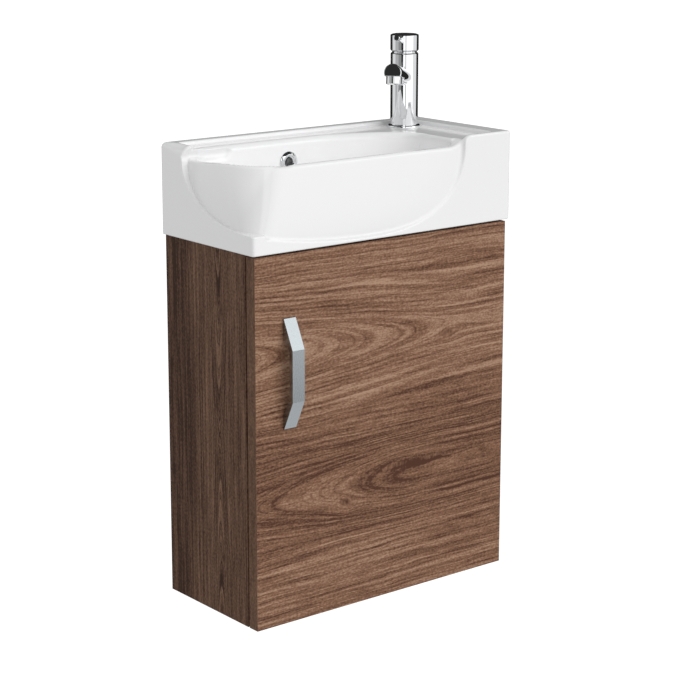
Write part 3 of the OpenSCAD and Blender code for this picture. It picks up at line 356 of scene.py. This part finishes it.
def glaze(name, outer, inner):
    """White glaze, with a whiter colour inside the bowl that is painted light: it brightens the hollow the
    way gathered light would.
    """
    g = Graph(name)
    x, y, z = g.place()
    across = g.math("ABSOLUTE", g.div(g.add(x, 40.0), 176.0))
    deep = g.math("ABSOLUTE", g.div(g.add(y, 120.0), 74.0))
    plan = g.add(g.math("POWER", across, 6.0), g.math("POWER", deep, 6.0))
    # Mask of the bowl's hollow below the rim, where the inner colour paints in light
    below_rim = g.span(z, BASIN_LOW + RIM - 3.0, BASIN_LOW + RIM + 7.0, 1.0, 0.0)
    inside = g.mul(g.span(plan, 0.8, 1.2, 1.0, 0.0), below_rim)
    g.put(g.bsdf.inputs["Base Color"], g.mix(inside, outer, inner))
    n = g.noise(g.join(x, y, z), scale=0.02, detail=2.0)
    g.put(g.bsdf.inputs["Roughness"], g.span(n, 0.2, 0.8, 0.11, 0.13, smooth=False))
    return g.mat


def plain(name, colour, rough, spread, scale, bump=0.0, spec=0.5):
    """A moulded or painted surface with slight unevenness in colour and gloss."""
    g = Graph(name)
    x, y, z = g.place()
    n = g.noise(g.join(x, y, z), scale=scale, detail=3.0)
    low = tuple(c * (1.0 - spread) for c in colour)
    high = tuple(min(1.0, c * (1.0 + spread)) for c in colour)
    g.put(g.bsdf.inputs["Base Color"], g.mix(n, low, high))
    g.put(g.bsdf.inputs["Roughness"], g.span(n, 0.2, 0.8, rough * 0.9, rough * 1.1, smooth=False))
    g.set(Specular_IOR_Level=spec)
    if bump:
        g.bump(n, bump, 0.0002)
    return g.mat


FRONT = (srgb(79, 49, 34), srgb(131, 95, 73), srgb(175, 141, 116))
SIDE = (srgb(61, 40, 29), srgb(101, 73, 56), srgb(134, 103, 82))
MATS = {
    "walnut_door": wood("walnut_door", "door", *FRONT),
    "walnut_side": wood("walnut_side", "side", *SIDE),
    "walnut_deep": wood("walnut_deep", "deep", *SIDE),
    "beech": plain("beech", srgb(205, 170, 120), 0.5, 0.08, 0.3),
    "zinc": metal("zinc_steel", srgb(176, 178, 182), 0.32),
    "nickel": metal("satin_nickel", srgb(160, 166, 169), 0.26),
    "white_plastic": plain("white_plastic", srgb(228, 228, 224), 0.35, 0.03, 0.5, bump=0.1),
    "grey_plastic": plain("cartridge_plastic", srgb(190, 190, 182), 0.4, 0.04, 0.5, bump=0.1),
    # The second colour, used inside the bowl, is whiter as painted light
    "ceramic": glaze("glazed_ceramic", (0.90, 0.90, 0.905), (0.98, 0.98, 0.985)),
    "chrome": metal("chrome", (0.86, 0.87, 0.88), 0.022),
    "rubber": plain("rubber", srgb(38, 38, 38), 0.7, 0.2, 1.0, bump=0.3),
    "brass": metal("brass", srgb(196, 160, 96), 0.25),
}

SLOT_MATERIAL = {
    "walnut_front": "walnut_door",
    "walnut_side": "walnut_side",
    "beech": "beech",
    "zinc_steel": "zinc",
    "satin_metal": "nickel",
    "white_plastic": "white_plastic",
    "ceramic": "ceramic",
    "chrome": "chrome",
    "rubber": "rubber",
    "brass": "brass",
    "cartridge_plastic": "grey_plastic",
}
DEEP_NODES = ("bottom_panel", "front_rail", "hanging_rail", "lower_rail", "shelf")

node_slot = {part["node"]: part["material_slot"] for part in frame["record"]["subparts"]}


def dress(obj, mat):
    """Gives an object one material."""
    obj.data.materials.clear()
    obj.data.materials.append(mat)


for node_name, obj in frame["nodes"].items():
    key = SLOT_MATERIAL.get(node_slot.get(node_name), "zinc")
    if node_name in DEEP_NODES:
        key = "walnut_deep"
    dress(obj, MATS[key])


# Shape helpers


def mesh_object(name, verts, faces, mat, body, node, normals=None):
    """A new piece from millimetre points that rides on a body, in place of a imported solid."""
    mesh = bpy.data.meshes.new(name)
    v = np.asarray(verts, dtype=np.float64) * MM
    mesh.from_pydata(v.tolist(), [], [list(f) for f in faces])
    mesh.validate()
    mesh.update()
    mesh.shade_smooth()
    if normals is not None:
        mesh.normals_split_custom_set_from_vertices(np.asarray(normals).tolist())
    obj = bpy.data.objects.new(name, mesh)
    bpy.context.scene.collection.objects.link(obj)
    obj.data.materials.append(mat)
    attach(obj, body)
    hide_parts(node)
    return obj


def round_max(a, b, r):
    """Intersection of two distances with an edge rounded by r."""
    u = np.maximum(a + r, 0.0)
    v = np.maximum(b + r, 0.0)
    return np.minimum(np.maximum(a, b), -r) + np.sqrt(u * u + v * v)


def round_min(a, b, r):
    """Union of two distances with an inner corner rounded by r."""
    return -round_max(-a, -b, r)


def surface_net(field, low, step, count):
    """Quads on the zero level of field(x, y, z), with points and outward normals."""
    axes = [low[k] + step * np.arange(count[k]) for k in range(3)]
    f = np.empty(count)
    for i, x in enumerate(axes[0]):
        yy, zz = np.meshgrid(axes[1], axes[2], indexing="ij")
        f[i] = field(np.full_like(yy, x), yy, zz)
    inside = f < 0
    total = np.zeros([n - 1 for n in count], dtype=np.int8)
    corners = [(a, b, c) for a in (0, 1) for b in (0, 1) for c in (0, 1)]
    for a, b, c in corners:
        total += inside[a:count[0] - 1 + a, b:count[1] - 1 + b, c:count[2] - 1 + c]
    cells = np.argwhere((total > 0) & (total < 8))
    index = np.full(total.shape, -1, dtype=np.int64)
    index[tuple(cells.T)] = np.arange(len(cells))
    points = np.zeros((len(cells), 3))
    hits = np.zeros(len(cells))
    for axis in range(3):
        for corner in corners:
            if corner[axis]:
                continue
            p = cells + np.array(corner)
            q = p.copy()
            q[:, axis] += 1
            fp = f[tuple(p.T)]
            fq = f[tuple(q.T)]
            cross = (fp < 0) != (fq < 0)
            t = fp[cross] / (fp[cross] - fq[cross])
            at = p[cross].astype(float)
            at[:, axis] += t
            points[cross] += at
            hits[cross] += 1
    points = np.array(low) + step * points / hits[:, None]
    quads = []
    for axis in range(3):
        u, v = (axis + 1) % 3, (axis + 2) % 3
        a = [slice(1, n - 1) for n in count]
        a[axis] = slice(0, count[axis] - 1)
        b = list(a)
        b[axis] = slice(1, count[axis])
        change = np.argwhere(inside[tuple(a)] != inside[tuple(b)])
        start = np.array([1, 1, 1])
        start[axis] = 0
        p = change + start
        ring = []
        for du, dv in ((0, 0), (-1, 0), (-1, -1), (0, -1)):
            c = p.copy()
            c[:, u] += du
            c[:, v] += dv
            ring.append(index[tuple(c.T)])
        quad = np.stack(ring, axis=1)
        flip = ~inside[tuple(p.T)]
        quad[flip] = quad[flip][:, ::-1]
        quads.append(quad)
    quads = np.concatenate(quads)
    h = 0.2
    # Three moves towards the surface, then the normals
    for turn in range(4):
        x, y, z = points.T
        grad = np.stack([
            field(x + h, y, z) - field(x - h, y, z),
            field(x, y + h, z) - field(x, y - h, z),
            field(x, y, z + h) - field(x, y, z - h),
        ], axis=1) / (2 * h)
        size = np.maximum(np.linalg.norm(grad, axis=1), 0.2)
        normal = grad / size[:, None]
        if turn < 3:
            move = np.clip(field(x, y, z) / size, -step * 0.6, step * 0.6)
            points = points - normal * move[:, None]
    return points, quads, normal


# Basin

# Where the line on the front changes from its left part to its right one
FRONT_MID = -34.0
# How far the flush strips reach in from the front and from the left
STRIP = 22.0
BOWL_LEFT = -209.0
BOWL_RIGHT = 133.0
BOWL_FRONT = -190.0
BOWL_BACK = -50.0
BOWL_FLOOR = 28.0
# Widths of the border beside and behind the tap deck
BORDER_SIDE = 30.0
BORDER_BACK = 18.0
# Thickness of the walls round the hollow underside
WALL = 14.0
# The block behind the bowl and the one on its right start here
SOLID_BACK = -42.0
SOLID_RIGHT = 144.0


def smooth(t):
    """Soft step from 0 to 1."""
    t = np.clip(t, 0.0, 1.0)
    return t * t * (3.0 - 2.0 * t)


def super_oval(u, v, n, su, sv):
    """Signed distance to (u^n + v^n) = 1 where u and v are scaled by 1/su and 1/sv."""
    u = np.maximum(u, 1e-4)
    v = np.maximum(v, 1e-4)
    g = (u**n + v**n) ** (1.0 / n)
    du = u ** (n - 1.0) * g ** (1.0 - n) / su
    dv = v ** (n - 1.0) * g ** (1.0 - n) / sv
    return (g - 1.0) / np.sqrt(du * du + dv * dv)


def front_line(x, z):
    """Positive above the line on the front below which the face is flush."""
    wide, high, start = 173.0, 116.0, 4.0
    right = -super_oval((x - FRONT_MID) / wide, (start + high - z) / high, 2.5, wide, high)
    reach, climb = 191.0, 20.0
    t = (FRONT_MID - x) / reach
    left = z - (start + climb * t * t)
    left = left / np.sqrt(1.0 + (2.0 * climb * t / reach) ** 2)
    return np.where(x < FRONT_MID, left, right)


def left_line(y, z):
    """Positive above the line on the left side, where the flush part ends towards the tub."""
    deep, high, top = 160.0, 86.0, RIM + 1.0
    oval = super_oval((y + BASIN_D) / deep, (top - z) / high, 2.2, deep, high)
    lean = 0.35
    wall = ((y + 47.0) + lean * (z - top)) / math.hypot(1.0, lean)
    return -round_max(oval, wall, 5.0)


def rim_level(y):
    """Height of the rim, which falls a little along the left side."""
    return RIM - 4.5 * smooth((y + 140.0) / 80.0)


def tub(x, y, z):
    """Negative inside the tub, whose corner grows from a small radius below to a wide one at the rim."""
    t = np.clip(z / RIM, 0.0, 1.0)
    grow = t**0.8
    side = -BASIN_HALF + 2.5 + 9.0 * t**1.2
    face = -BASIN_D + 1.5 + (7.5 - 3.0 * smooth((x - 20.0) / 110.0)) * t * t
    tuck = np.clip(1.0 - t / 0.4, 0.0, 1.0) ** 2
    side, face = side + 2.0 * tuck, face + 3.5 * tuck
    wide, deep = 12.0 + 63.5 * grow, 12.0 + 87.0 * grow
    u, v = side + wide - x, face + deep - y
    corner = super_oval(u / wide, v / deep, 2.0 + 0.7 * t, wide, deep)
    return np.where((u > 0.0) & (v > 0.0), corner, np.maximum(side - x, face - y))


def bowl(x, y, z):
    """Negative inside the bowl's hollow."""
    draft = 0.05 * (DECK - z)
    front = BOWL_FRONT - y + draft
    left = BOWL_LEFT - x + draft
    right = x - BOWL_RIGHT + draft
    wide, deep = 71.0, 90.0
    u, v = (BOWL_LEFT + wide - x) / wide, (BOWL_FRONT + deep - y) / deep
    corner = super_oval(u, v, 2.7, wide, deep) + draft
    near = np.where((u > 0.0) & (v > 0.0), corner, np.maximum(left, front))
    near = round_max(near, right, 10.0)
    # The quarter at the back right sweeps round from the rear wall to the right one
    deep = 70.0
    quarter = (x > 0.0) & (y > BOWL_BACK - deep)
    corner = super_oval(x / BOWL_RIGHT, (y - BOWL_BACK + deep) / deep, 1.62, BOWL_RIGHT, deep)
    back = np.where(quarter, corner + draft * smooth(x / 60.0), y - BOWL_BACK)
    plan = round_max(np.where(quarter, -500.0, near), back, 24.0)
    end = np.maximum(left, right)
    share = np.where(quarter, smooth(x / BOWL_RIGHT), smooth((end - np.maximum(front, back)) / 60.0 + 0.5))
    return round_max(plan, BOWL_FLOOR - z, 27.0 + 23.0 * share)


def outer_form(x, y, z):
    """The block of the basin, cut back to the tub at its front left corner."""
    block = round_max(np.maximum(-BASIN_HALF - x, x - BASIN_HALF), -BASIN_D - y, 5.0)
    block = round_max(block, y, 1.5)
    block = round_max(block, z - BASIN_H, 3.0)
    block = np.maximum(block, round_max(-BASIN_HALF - x, z - BASIN_H, 8.0 + 10.0 * smooth(-y / 45.0)))
    block = round_max(block, -z, 1.5)
    strip_front = round_max(front_line(x, z), y + BASIN_D - STRIP, 3.0)
    strip_left = round_max(left_line(y, z), x + BASIN_HALF - STRIP, 3.0)
    solid = round_min(tub(x, y, z), strip_front, 6.0)
    solid = round_min(solid, strip_left, 1.5)
    solid = round_min(solid, SOLID_RIGHT - x, 4.0)
    solid = round_min(solid, SOLID_BACK - y, 2.0)
    return round_max(solid, block, 2.0)


def cut_rim(solid, x, y, z):
    """The rim cut down at the front and at the left, with coves up to the border."""
    wall = ((x - 129.0) * 15.0 - (z - RIM) * 16.5) / math.hypot(15.0, 16.5)
    cut = round_max(wall, y + 184.0, 4.0)
    cut = round_max(cut, RIM - z, 8.0)
    solid = round_max(solid, -cut, 4.0)
    wall = ((y + 46.0) * 15.0 + (z - 110.0) * 5.0) / math.hypot(15.0, 5.0)
    cut = round_max(round_max(wall, x + 150.0, 4.0), rim_level(y) - z, 8.0)
    return round_max(solid, -cut, 3.5)


def cut_deck(solid, x, y, z):
    """The tap deck, sunk inside the border."""
    pocket = round_max(x - BASIN_HALF + BORDER_SIDE, y + BORDER_BACK, 10.0)
    pocket = round_max(pocket, BOWL_LEFT - x, 4.0)
    pocket = round_max(pocket, -200.0 - y, 6.0)
    pocket = round_max(pocket, DECK - z, 2.5)
    return round_max(solid, -pocket, 2.5)


def cut_below(solid, x, y, z):
    """The holes of the tap and the waste, and the hollow underside."""
    tap = 17.5 - np.hypot(x - TAP[0], y - TAP[1])
    solid = round_max(solid, tap, 1.0)
    waste = 22.5 - np.hypot(x - WASTE[0], y - WASTE[1])
    solid = round_max(solid, np.where(z < 60.0, waste, -50.0), 1.0)
    middle = BASIN_D / 2
    under = round_max(np.abs(x) - BASIN_HALF + WALL, np.abs(y + middle) - middle + WALL, 6.0)
    shallow = round_max(under, z - 12.0, 4.0)
    deep = round_max(round_max(under, SOLID_RIGHT - x, 6.0), z - 108.0, 6.0)
    return round_max(solid, -round_min(shallow, deep, 2.0), 2.0)


def overflow_way(x, y, z):
    """Negative inside the overflow hole and its duct behind the bowl."""
    hole = np.hypot(x - OVERFLOW[0], z - OVERFLOW[1]) - 9.0
    hole = np.maximum(hole, np.maximum(-60.0 - y, y + 27.0))
    duct = np.maximum(np.abs(x - OVERFLOW[0]) - 14.0, np.abs(y + 30.0) - 4.0)
    duct = np.maximum(duct, np.abs(z - 60.0) - 40.0)
    return np.minimum(hole, duct)


def basin_field(x, y, z):
    """Negative inside the ceramic."""
    solid = cut_deck(cut_rim(outer_form(x, y, z), x, y, z), x, y, z)
    lip = 3.5 + 5.5 * smooth((y + 150.0) / 80.0) * smooth((x + 213.0) / 30.0)
    solid = cut_below(round_max(solid, -bowl(x, y, z), lip), x, y, z)
    return np.maximum(solid, -overflow_way(x, y, z))


STEP = 2.0
ROOM = 3.0
cells = [int(math.ceil((v + 2 * ROOM) / STEP)) + 1 for v in (2 * BASIN_HALF, BASIN_D, BASIN_H)]
points, quads, normals = surface_net(basin_field, (-BASIN_HALF - ROOM, -BASIN_D - ROOM, -ROOM), STEP, cells)
points[:, 2] += BASIN_LOW
mesh_object("basin_glaze", points, quads, MATS["ceramic"], "cabinet", "basin", normals)


# Turned pieces


SIDES = 96
ARC_STEPS = 4


def rounded_profile(corners, radius):
    """Profile points (r, z) with each inner corner rounded."""
    out = []
    for k, p in enumerate(corners):
        if k in (0, len(corners) - 1) or radius[k] <= 0:
            out.append(tuple(p))
            continue
        p = np.array(p, float)
        a = np.array(corners[k - 1], float) - p
        b = np.array(corners[k + 1], float) - p
        la, lb = np.linalg.norm(a), np.linalg.norm(b)
        a, b = a / la, b / lb
        half = math.acos(max(-1.0, min(1.0, float(a @ b)))) / 2
        cut = min(radius[k] / math.tan(half), 0.49 * la, 0.49 * lb)
        r = cut * math.tan(half)
        mid = (a + b) / np.linalg.norm(a + b)
        centre = p + mid * r / math.sin(half)
        va = p + a * cut - centre
        vb = p + b * cut - centre
        ang0 = math.atan2(va[1], va[0])
        ang1 = math.atan2(vb[1], vb[0])
        turn = (ang1 - ang0 + math.pi) % (2 * math.pi) - math.pi
        for step in range(ARC_STEPS + 1):
            w = ang0 + turn * step / ARC_STEPS
            out.append((centre[0] + r * math.cos(w), centre[1] + r * math.sin(w)))
    return out


def lathe(profile, sides=SIDES):
    """Points and faces of a profile turned round Z. Ends with r = 0 close on one point."""
    verts, rings = [], []
    for r, z in profile:
        if r < 1e-6:
            rings.append([len(verts)])
            verts.append((0.0, 0.0, z))
        else:
            rings.append(list(range(len(verts), len(verts) + sides)))
            for k in range(sides):
                w = 2 * math.pi * k / sides
                verts.append((r * math.cos(w), r * math.sin(w), z))
    faces = []
    for a, b in zip(rings, rings[1:]):
        for k in range(sides):
            n = (k + 1) % sides
            if len(a) == 1 and len(b) == 1:
                break
            if len(a) == 1:
                faces.append((a[0], b[n], b[k]))
            elif len(b) == 1:
                faces.append((a[k], a[n], b[0]))
            else:
                faces.append((a[k], a[n], b[n], b[k]))
    return np.array(verts), faces


def placed(verts, at, turn=0.0, tilt=0.0):
    """Tilts points about Y, turns them about Z and moves them."""
    c, s = math.cos(math.radians(tilt)), math.sin(math.radians(tilt))
    v = np.array(verts, float)
    v = np.stack([v[:, 0] * c + v[:, 2] * s, v[:, 1], -v[:, 0] * s + v[:, 2] * c], axis=1)
    c, s = math.cos(math.radians(turn)), math.sin(math.radians(turn))
    v = np.stack([v[:, 0] * c - v[:, 1] * s, v[:, 0] * s + v[:, 1] * c, v[:, 2]], axis=1)
    return v + np.array(at, float)


TAP_AT = (TAP[0], TAP[1], TAP_LOW)
BODY_R = 20.0
CAP_R = 20.4
GROOVE = 108.5
TAP_H = 134.0
SPOUT_Z = 70.5
SPOUT_L = 100.0
SPOUT_R = 12.5
# Degrees: which way the spout points, and its rise
SPOUT_TURN = 220.0
SPOUT_RISE = 10.0
SPOUT_FLAT = 5.0
AERATOR_H = 10.5
PIVOT_Z = GROOVE + 13.0
LEVER_R = 4.25
LEVER_L = 68.0
# Degrees
LEVER_RISE = 9.0
# The cap tips in a ball-shaped hollow of the body, round the pivot
BALL_R = math.hypot(BODY_R, PIVOT_Z - GROOVE)
BALL_GAP = 0.3
BALL_STEPS = 14
CAP_SKIRT = 10.0
SKIRT_R = math.sqrt(BALL_R**2 - (PIVOT_Z - GROOVE + CAP_SKIRT)**2)


def chrome_piece(name, verts, faces, body, node):
    """A chrome piece of the tap or the overflow, with its edges kept sharp."""
    obj = mesh_object(name, verts, faces, MATS["chrome"], body, node)
    obj.data.set_sharp_from_angle(angle=math.radians(35.0))


def ball(radius, first, last):
    """Points of a profile on a ball round the pivot, from one distance to the axis to another."""
    distances = np.linspace(first, last, BALL_STEPS).tolist()
    return [(r, PIVOT_Z - math.sqrt(radius**2 - r * r)) for r in distances]


def make_body():
    """The upright body with its shank in the deck and the ball-shaped hollow on top."""
    shank_r, shank = 16.0, 9.0
    corners = [(0.0, -shank), (shank_r, -shank), (shank_r, 1.0), (BODY_R, 1.0), (BODY_R, GROOVE - 3.2)]
    corners += ball(BALL_R + BALL_GAP, BODY_R - 0.8, 0.0)
    radii = [0, 0.3, 0, 0.3, 0.8, 0.2] + [0] * (BALL_STEPS - 1)
    verts, faces = lathe(rounded_profile(corners, radii))
    chrome_piece("tap_body_shell", placed(verts, TAP_AT), faces, "cabinet", "tap_body")


def make_cap():
    """The cap above the groove, with its ball-shaped underside."""
    neck_r = BODY_R - 2.2
    corners = [(0.0, GROOVE - CAP_SKIRT)] + ball(BALL_R, SKIRT_R, neck_r)
    corners += [(neck_r, GROOVE + 0.2), (BODY_R - 1.2, GROOVE + 0.8), (CAP_R, GROOVE + 2.6),
                (CAP_R, TAP_H - 1.6), (CAP_R - 3.0, TAP_H - 0.4), (0.0, TAP_H)]
    radii = [0] * (BALL_STEPS + 1) + [0.3, 0.6, 0.8, 1.2, 3.0, 0]
    verts, faces = lathe(rounded_profile(corners, radii))
    chrome_piece("tap_cap_shell", placed(verts, TAP_AT), faces, "tap_handle", "tap_cap")


def make_foot():
    """The ring round the body's foot."""
    corners = [(BODY_R, 0.0), (23.6, 0.0), (24.0, 0.4), (24.0, 0.9), (23.6, 2.4), (22.4, 3.6), (BODY_R, 3.8)]
    verts, faces = lathe(rounded_profile(corners, [0, 0.1, 0.1, 0.1, 0.3, 0.3, 0]))
    chrome_piece("tap_foot_ring", placed(verts, TAP_AT), faces, "cabinet", "tap_base_ring")


def at_spout(verts, along, up):
    """Points of a piece drawn upright, moved along and off the spout's axis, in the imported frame."""
    v = np.array(verts, float) + np.array((along, 0.0, up))
    return placed(placed(v, (0, 0, SPOUT_Z), tilt=-SPOUT_RISE), TAP_AT, turn=SPOUT_TURN)


def make_spout():
    """A round bar whose underside is cut flat over its last stretch."""
    flat_from = SPOUT_L - 34.0
    # Place along the axis, share of the full size, and whether the underside is flat there
    rows = ((4.0, 1.0, False), (30.0, 1.0, False), (flat_from - 3.0, 1.0, False),
            (flat_from - 0.01, 1.0, False), (flat_from, 1.0, True), (SPOUT_L - 16.0, 1.0, True),
            (SPOUT_L - 0.8, 1.0, True), (SPOUT_L - 0.3, 0.975, True), (SPOUT_L, 0.93, True),
            (SPOUT_L, 0.9, True))
    verts = []
    for x, share, flat in rows:
        low = -SPOUT_FLAT * share if flat else -SPOUT_R
        for k in range(SIDES):
            w = 2 * math.pi * k / SIDES
            verts.append((x, SPOUT_R * share * math.cos(w), max(SPOUT_R * share * math.sin(w), low)))
    verts.append((SPOUT_L, 0.0, 2.0))
    faces = []
    for a in range(len(rows) - 1):
        for k in range(SIDES):
            n = (k + 1) % SIDES
            faces.append((a * SIDES + k, a * SIDES + n, (a + 1) * SIDES + n, (a + 1) * SIDES + k))
    last = (len(rows) - 1) * SIDES
    for k in range(SIDES):
        faces.append((last + k, last + (k + 1) % SIDES, len(verts) - 1))
    chrome_piece("tap_spout_bar", at_spout(verts, 0.0, 0.0), faces, "cabinet", "tap_spout")


def make_aerator():
    """The short cup under the spout's end."""
    r = 11.0
    corners = [(0.0, 1.5), (r - 2.5, 1.5), (r - 2.5, 0.0), (r - 0.8, 0.0), (r, 0.8), (r, AERATOR_H),
               (0.0, AERATOR_H)]
    verts, faces = lathe(rounded_profile(corners, [0, 0.3, 0.3, 0.3, 0.3, 0.3, 0]))
    verts = at_spout(verts, SPOUT_L - 14.0, -SPOUT_FLAT - AERATOR_H)
    chrome_piece("tap_aerator_cup", verts, faces, "cabinet", "tap_aerator")


def make_lever():
    """The round lever, which starts inside the cap."""
    corners = [(LEVER_R, 14.5), (LEVER_R, LEVER_L - 0.7), (LEVER_R - 0.7, LEVER_L), (LEVER_R - 1.2, LEVER_L),
               (0.0, LEVER_L)]
    verts, faces = lathe(rounded_profile(corners, [0, 0.3, 0.3, 0, 0]), SIDES // 2)
    verts = placed(verts, (0, 0, PIVOT_Z + 1.0), tilt=90.0 - LEVER_RISE)
    chrome_piece("tap_lever_bar", placed(verts, TAP_AT, turn=SPOUT_TURN), faces, "tap_handle", "tap_lever")


def make_overflow():
    """The ring in the bowl's rear wall, which faces forwards."""
    corners = [(9.0, -8.0), (9.0, 0.0), (15.0, 0.0), (15.0, 1.0), (11.2, 3.4), (8.6, 3.4), (6.8, 1.6),
               (6.6, -9.0)]
    verts, faces = lathe(rounded_profile(corners, [0, 0, 0.4, 0.8, 1.2, 0.8, 0.6, 0]), 72)
    verts = np.stack([verts[:, 0], -verts[:, 2], verts[:, 1]], axis=1)
    verts = verts + np.array((OVERFLOW[0], BOWL_BACK, BASIN_LOW + OVERFLOW[1]))
    mesh_object("overflow_trim", verts, faces, MATS["chrome"], "cabinet", "overflow_ring")


make_body()
make_cap()
make_foot()
make_spout()
make_aerator()
make_lever()
make_overflow()


# Flat pieces with eased edges


def eased(node, width, steps, mat, body, angle=25.0):
    """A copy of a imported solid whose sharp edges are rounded, in place of the solid."""
    source = frame["nodes"][node]
    mesh = source.data.copy()
    mesh.name = node + "_eased"
    bm = bmesh.new()
    bm.from_mesh(mesh)
    bmesh.ops.remove_doubles(bm, verts=bm.verts, dist=1e-6)
    bmesh.ops.dissolve_limit(bm, angle_limit=math.radians(1.0), verts=bm.verts, edges=bm.edges)
    sharp = [e for e in bm.edges if len(e.link_faces) == 2 and e.calc_face_angle(0.0) > math.radians(30.0)]
    bmesh.ops.bevel(bm, geom=sharp, offset=width * MM, segments=steps, profile=0.5, affect="EDGES",
                    clamp_overlap=True)
    bm.to_mesh(mesh)
    bm.free()
    mesh.materials.clear()
    obj = bpy.data.objects.new(node + "_eased", mesh)
    bpy.context.scene.collection.objects.link(obj)
    obj.data.materials.append(mat)
    mesh.shade_smooth()
    mesh.set_sharp_from_angle(angle=math.radians(angle))
    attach(obj, body)
    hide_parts(node)


eased("door_panel", 0.5, 2, MATS["walnut_door"], "door")
eased("side_panel_left", 0.4, 2, MATS["walnut_side"], "cabinet")
eased("side_panel_right", 0.4, 2, MATS["walnut_side"], "cabinet")
eased("door_handle", 1.0, 3, MATS["nickel"], "door", 16.0)


# Stage and light


def show_in_gloss(mesh, name, tone):
    """A sheet that only mirror-like surfaces see, with its own even brightness."""
    obj = bpy.data.objects.new(name, mesh)
    bpy.context.scene.collection.objects.link(obj)
    mat = plain(name, (0.02, 0.02, 0.02), 0.9, 0.02, 0.002, spec=0.0)
    glow = mat.node_tree.nodes["Principled BSDF"].inputs
    glow["Emission Color"].default_value = (1.0, 1.0, 1.0, 1.0)
    glow["Emission Strength"].default_value = tone
    dress(obj, mat)
    obj.visible_camera = False
    obj.visible_diffuse = False
    obj.visible_shadow = False
    obj.visible_transmission = False


def lid(name, half, height, tone, at=(0.0, 0.0)):
    """A level sheet above or below the unit."""
    mesh = bpy.data.meshes.new(name)
    corners = ((-half, -half), (half, -half), (half, half), (-half, half))
    mesh.from_pydata([(at[0] + x, at[1] + y, height) for x, y in corners], [], [(0, 1, 2, 3)])
    show_in_gloss(mesh, name, tone)


def screen(name, start, end, low, high, radius, tone):
    """A standing sheet round the tap, between two directions in degrees."""
    mesh = bpy.data.meshes.new(name)
    verts, faces = [], []
    count = 24
    for k in range(count + 1):
        w = math.radians(start + (end - start) * k / count)
        x, y = TAP[0] * MM + radius * math.cos(w), TAP[1] * MM + radius * math.sin(w)
        verts += [(x, y, low), (x, y, high)]
    for k in range(count):
        faces.append((2 * k, 2 * k + 2, 2 * k + 3, 2 * k + 1))
    mesh.from_pydata(verts, [], faces)
    show_in_gloss(mesh, name, tone)


# Lengths of the stage are in metres
WORLD_LIGHT = 0.63
FLOOR_Z = -0.85
FLOOR_HALF = 120.0
FLOOR_GLOW = 0.7
SUN_POWER = 1.24
SUN_SPREAD = 50.0
SUN_FROM = (0.28, -0.8, 0.52)
SHEET_R = 2.5
SHEET_LOW = -0.8
# The sheets that stand round the unit: two directions in degrees, top in metres, brightness
SCREENS = ((-156.0, -139.0, 1.6, 0.015), (-139.0, -122.0, 1.8, 1.25), (-122.0, -116.0, 1.8, 0.35),
           (-116.0, -55.0, 1.8, 1.25), (-55.0, -14.0, 1.8, 0.8), (-14.0, 116.0, 2.4, 0.006),
           (116.0, 150.0, 1.8, 0.75), (150.0, 180.0, 1.8, 0.45), (180.0, 204.0, 1.8, 0.27))


def make_stage():
    """An even world, a wide pale floor, one soft sun and the sheets that show in the gloss."""
    scene = bpy.context.scene
    scene.view_settings.view_transform = "Standard"
    world = bpy.data.worlds.new("studio")
    scene.world = world
    world.use_nodes = True
    background = world.node_tree.nodes["Background"]
    background.inputs["Color"].default_value = (1.0, 1.0, 1.0, 1.0)
    background.inputs["Strength"].default_value = WORLD_LIGHT
    mesh = bpy.data.meshes.new("floor")
    corners = ((-1, -1), (1, -1), (1, 1), (-1, 1))
    mesh.from_pydata([(x * FLOOR_HALF, y * FLOOR_HALF, FLOOR_Z) for x, y in corners], [], [(0, 1, 2, 3)])
    floor = bpy.data.objects.new("floor", mesh)
    scene.collection.objects.link(floor)
    floor_mat = plain("pale_floor", (0.5, 0.5, 0.5), 0.6, 0.002, 0.001, spec=0.0)
    glow = floor_mat.node_tree.nodes["Principled BSDF"].inputs
    glow["Emission Color"].default_value = (1.0, 1.0, 1.0, 1.0)
    glow["Emission Strength"].default_value = FLOOR_GLOW
    dress(floor, floor_mat)
    floor.visible_diffuse = False
    light = bpy.data.lights.new("key", "SUN")
    light.energy = SUN_POWER
    light.angle = math.radians(SUN_SPREAD)
    key = bpy.data.objects.new("key", light)
    key.rotation_euler = Vector(SUN_FROM).to_track_quat("Z", "Y").to_euler()
    scene.collection.objects.link(key)
    for start, end, height, tone in SCREENS:
        screen("screen_%d" % round(start), start, end, SHEET_LOW, height, SHEET_R, tone)
    lid("screen_top", 2.6, 2.0, 0.02)
    lid("screen_low", 2.4, -0.84, 0.30)
    lid("card_low", 0.45, -0.8, 1.0, (0.0, -0.72))
    screen("card_high", -68.0, -44.0, 0.45, 1.3, 1.6, 2.0)


make_stage()
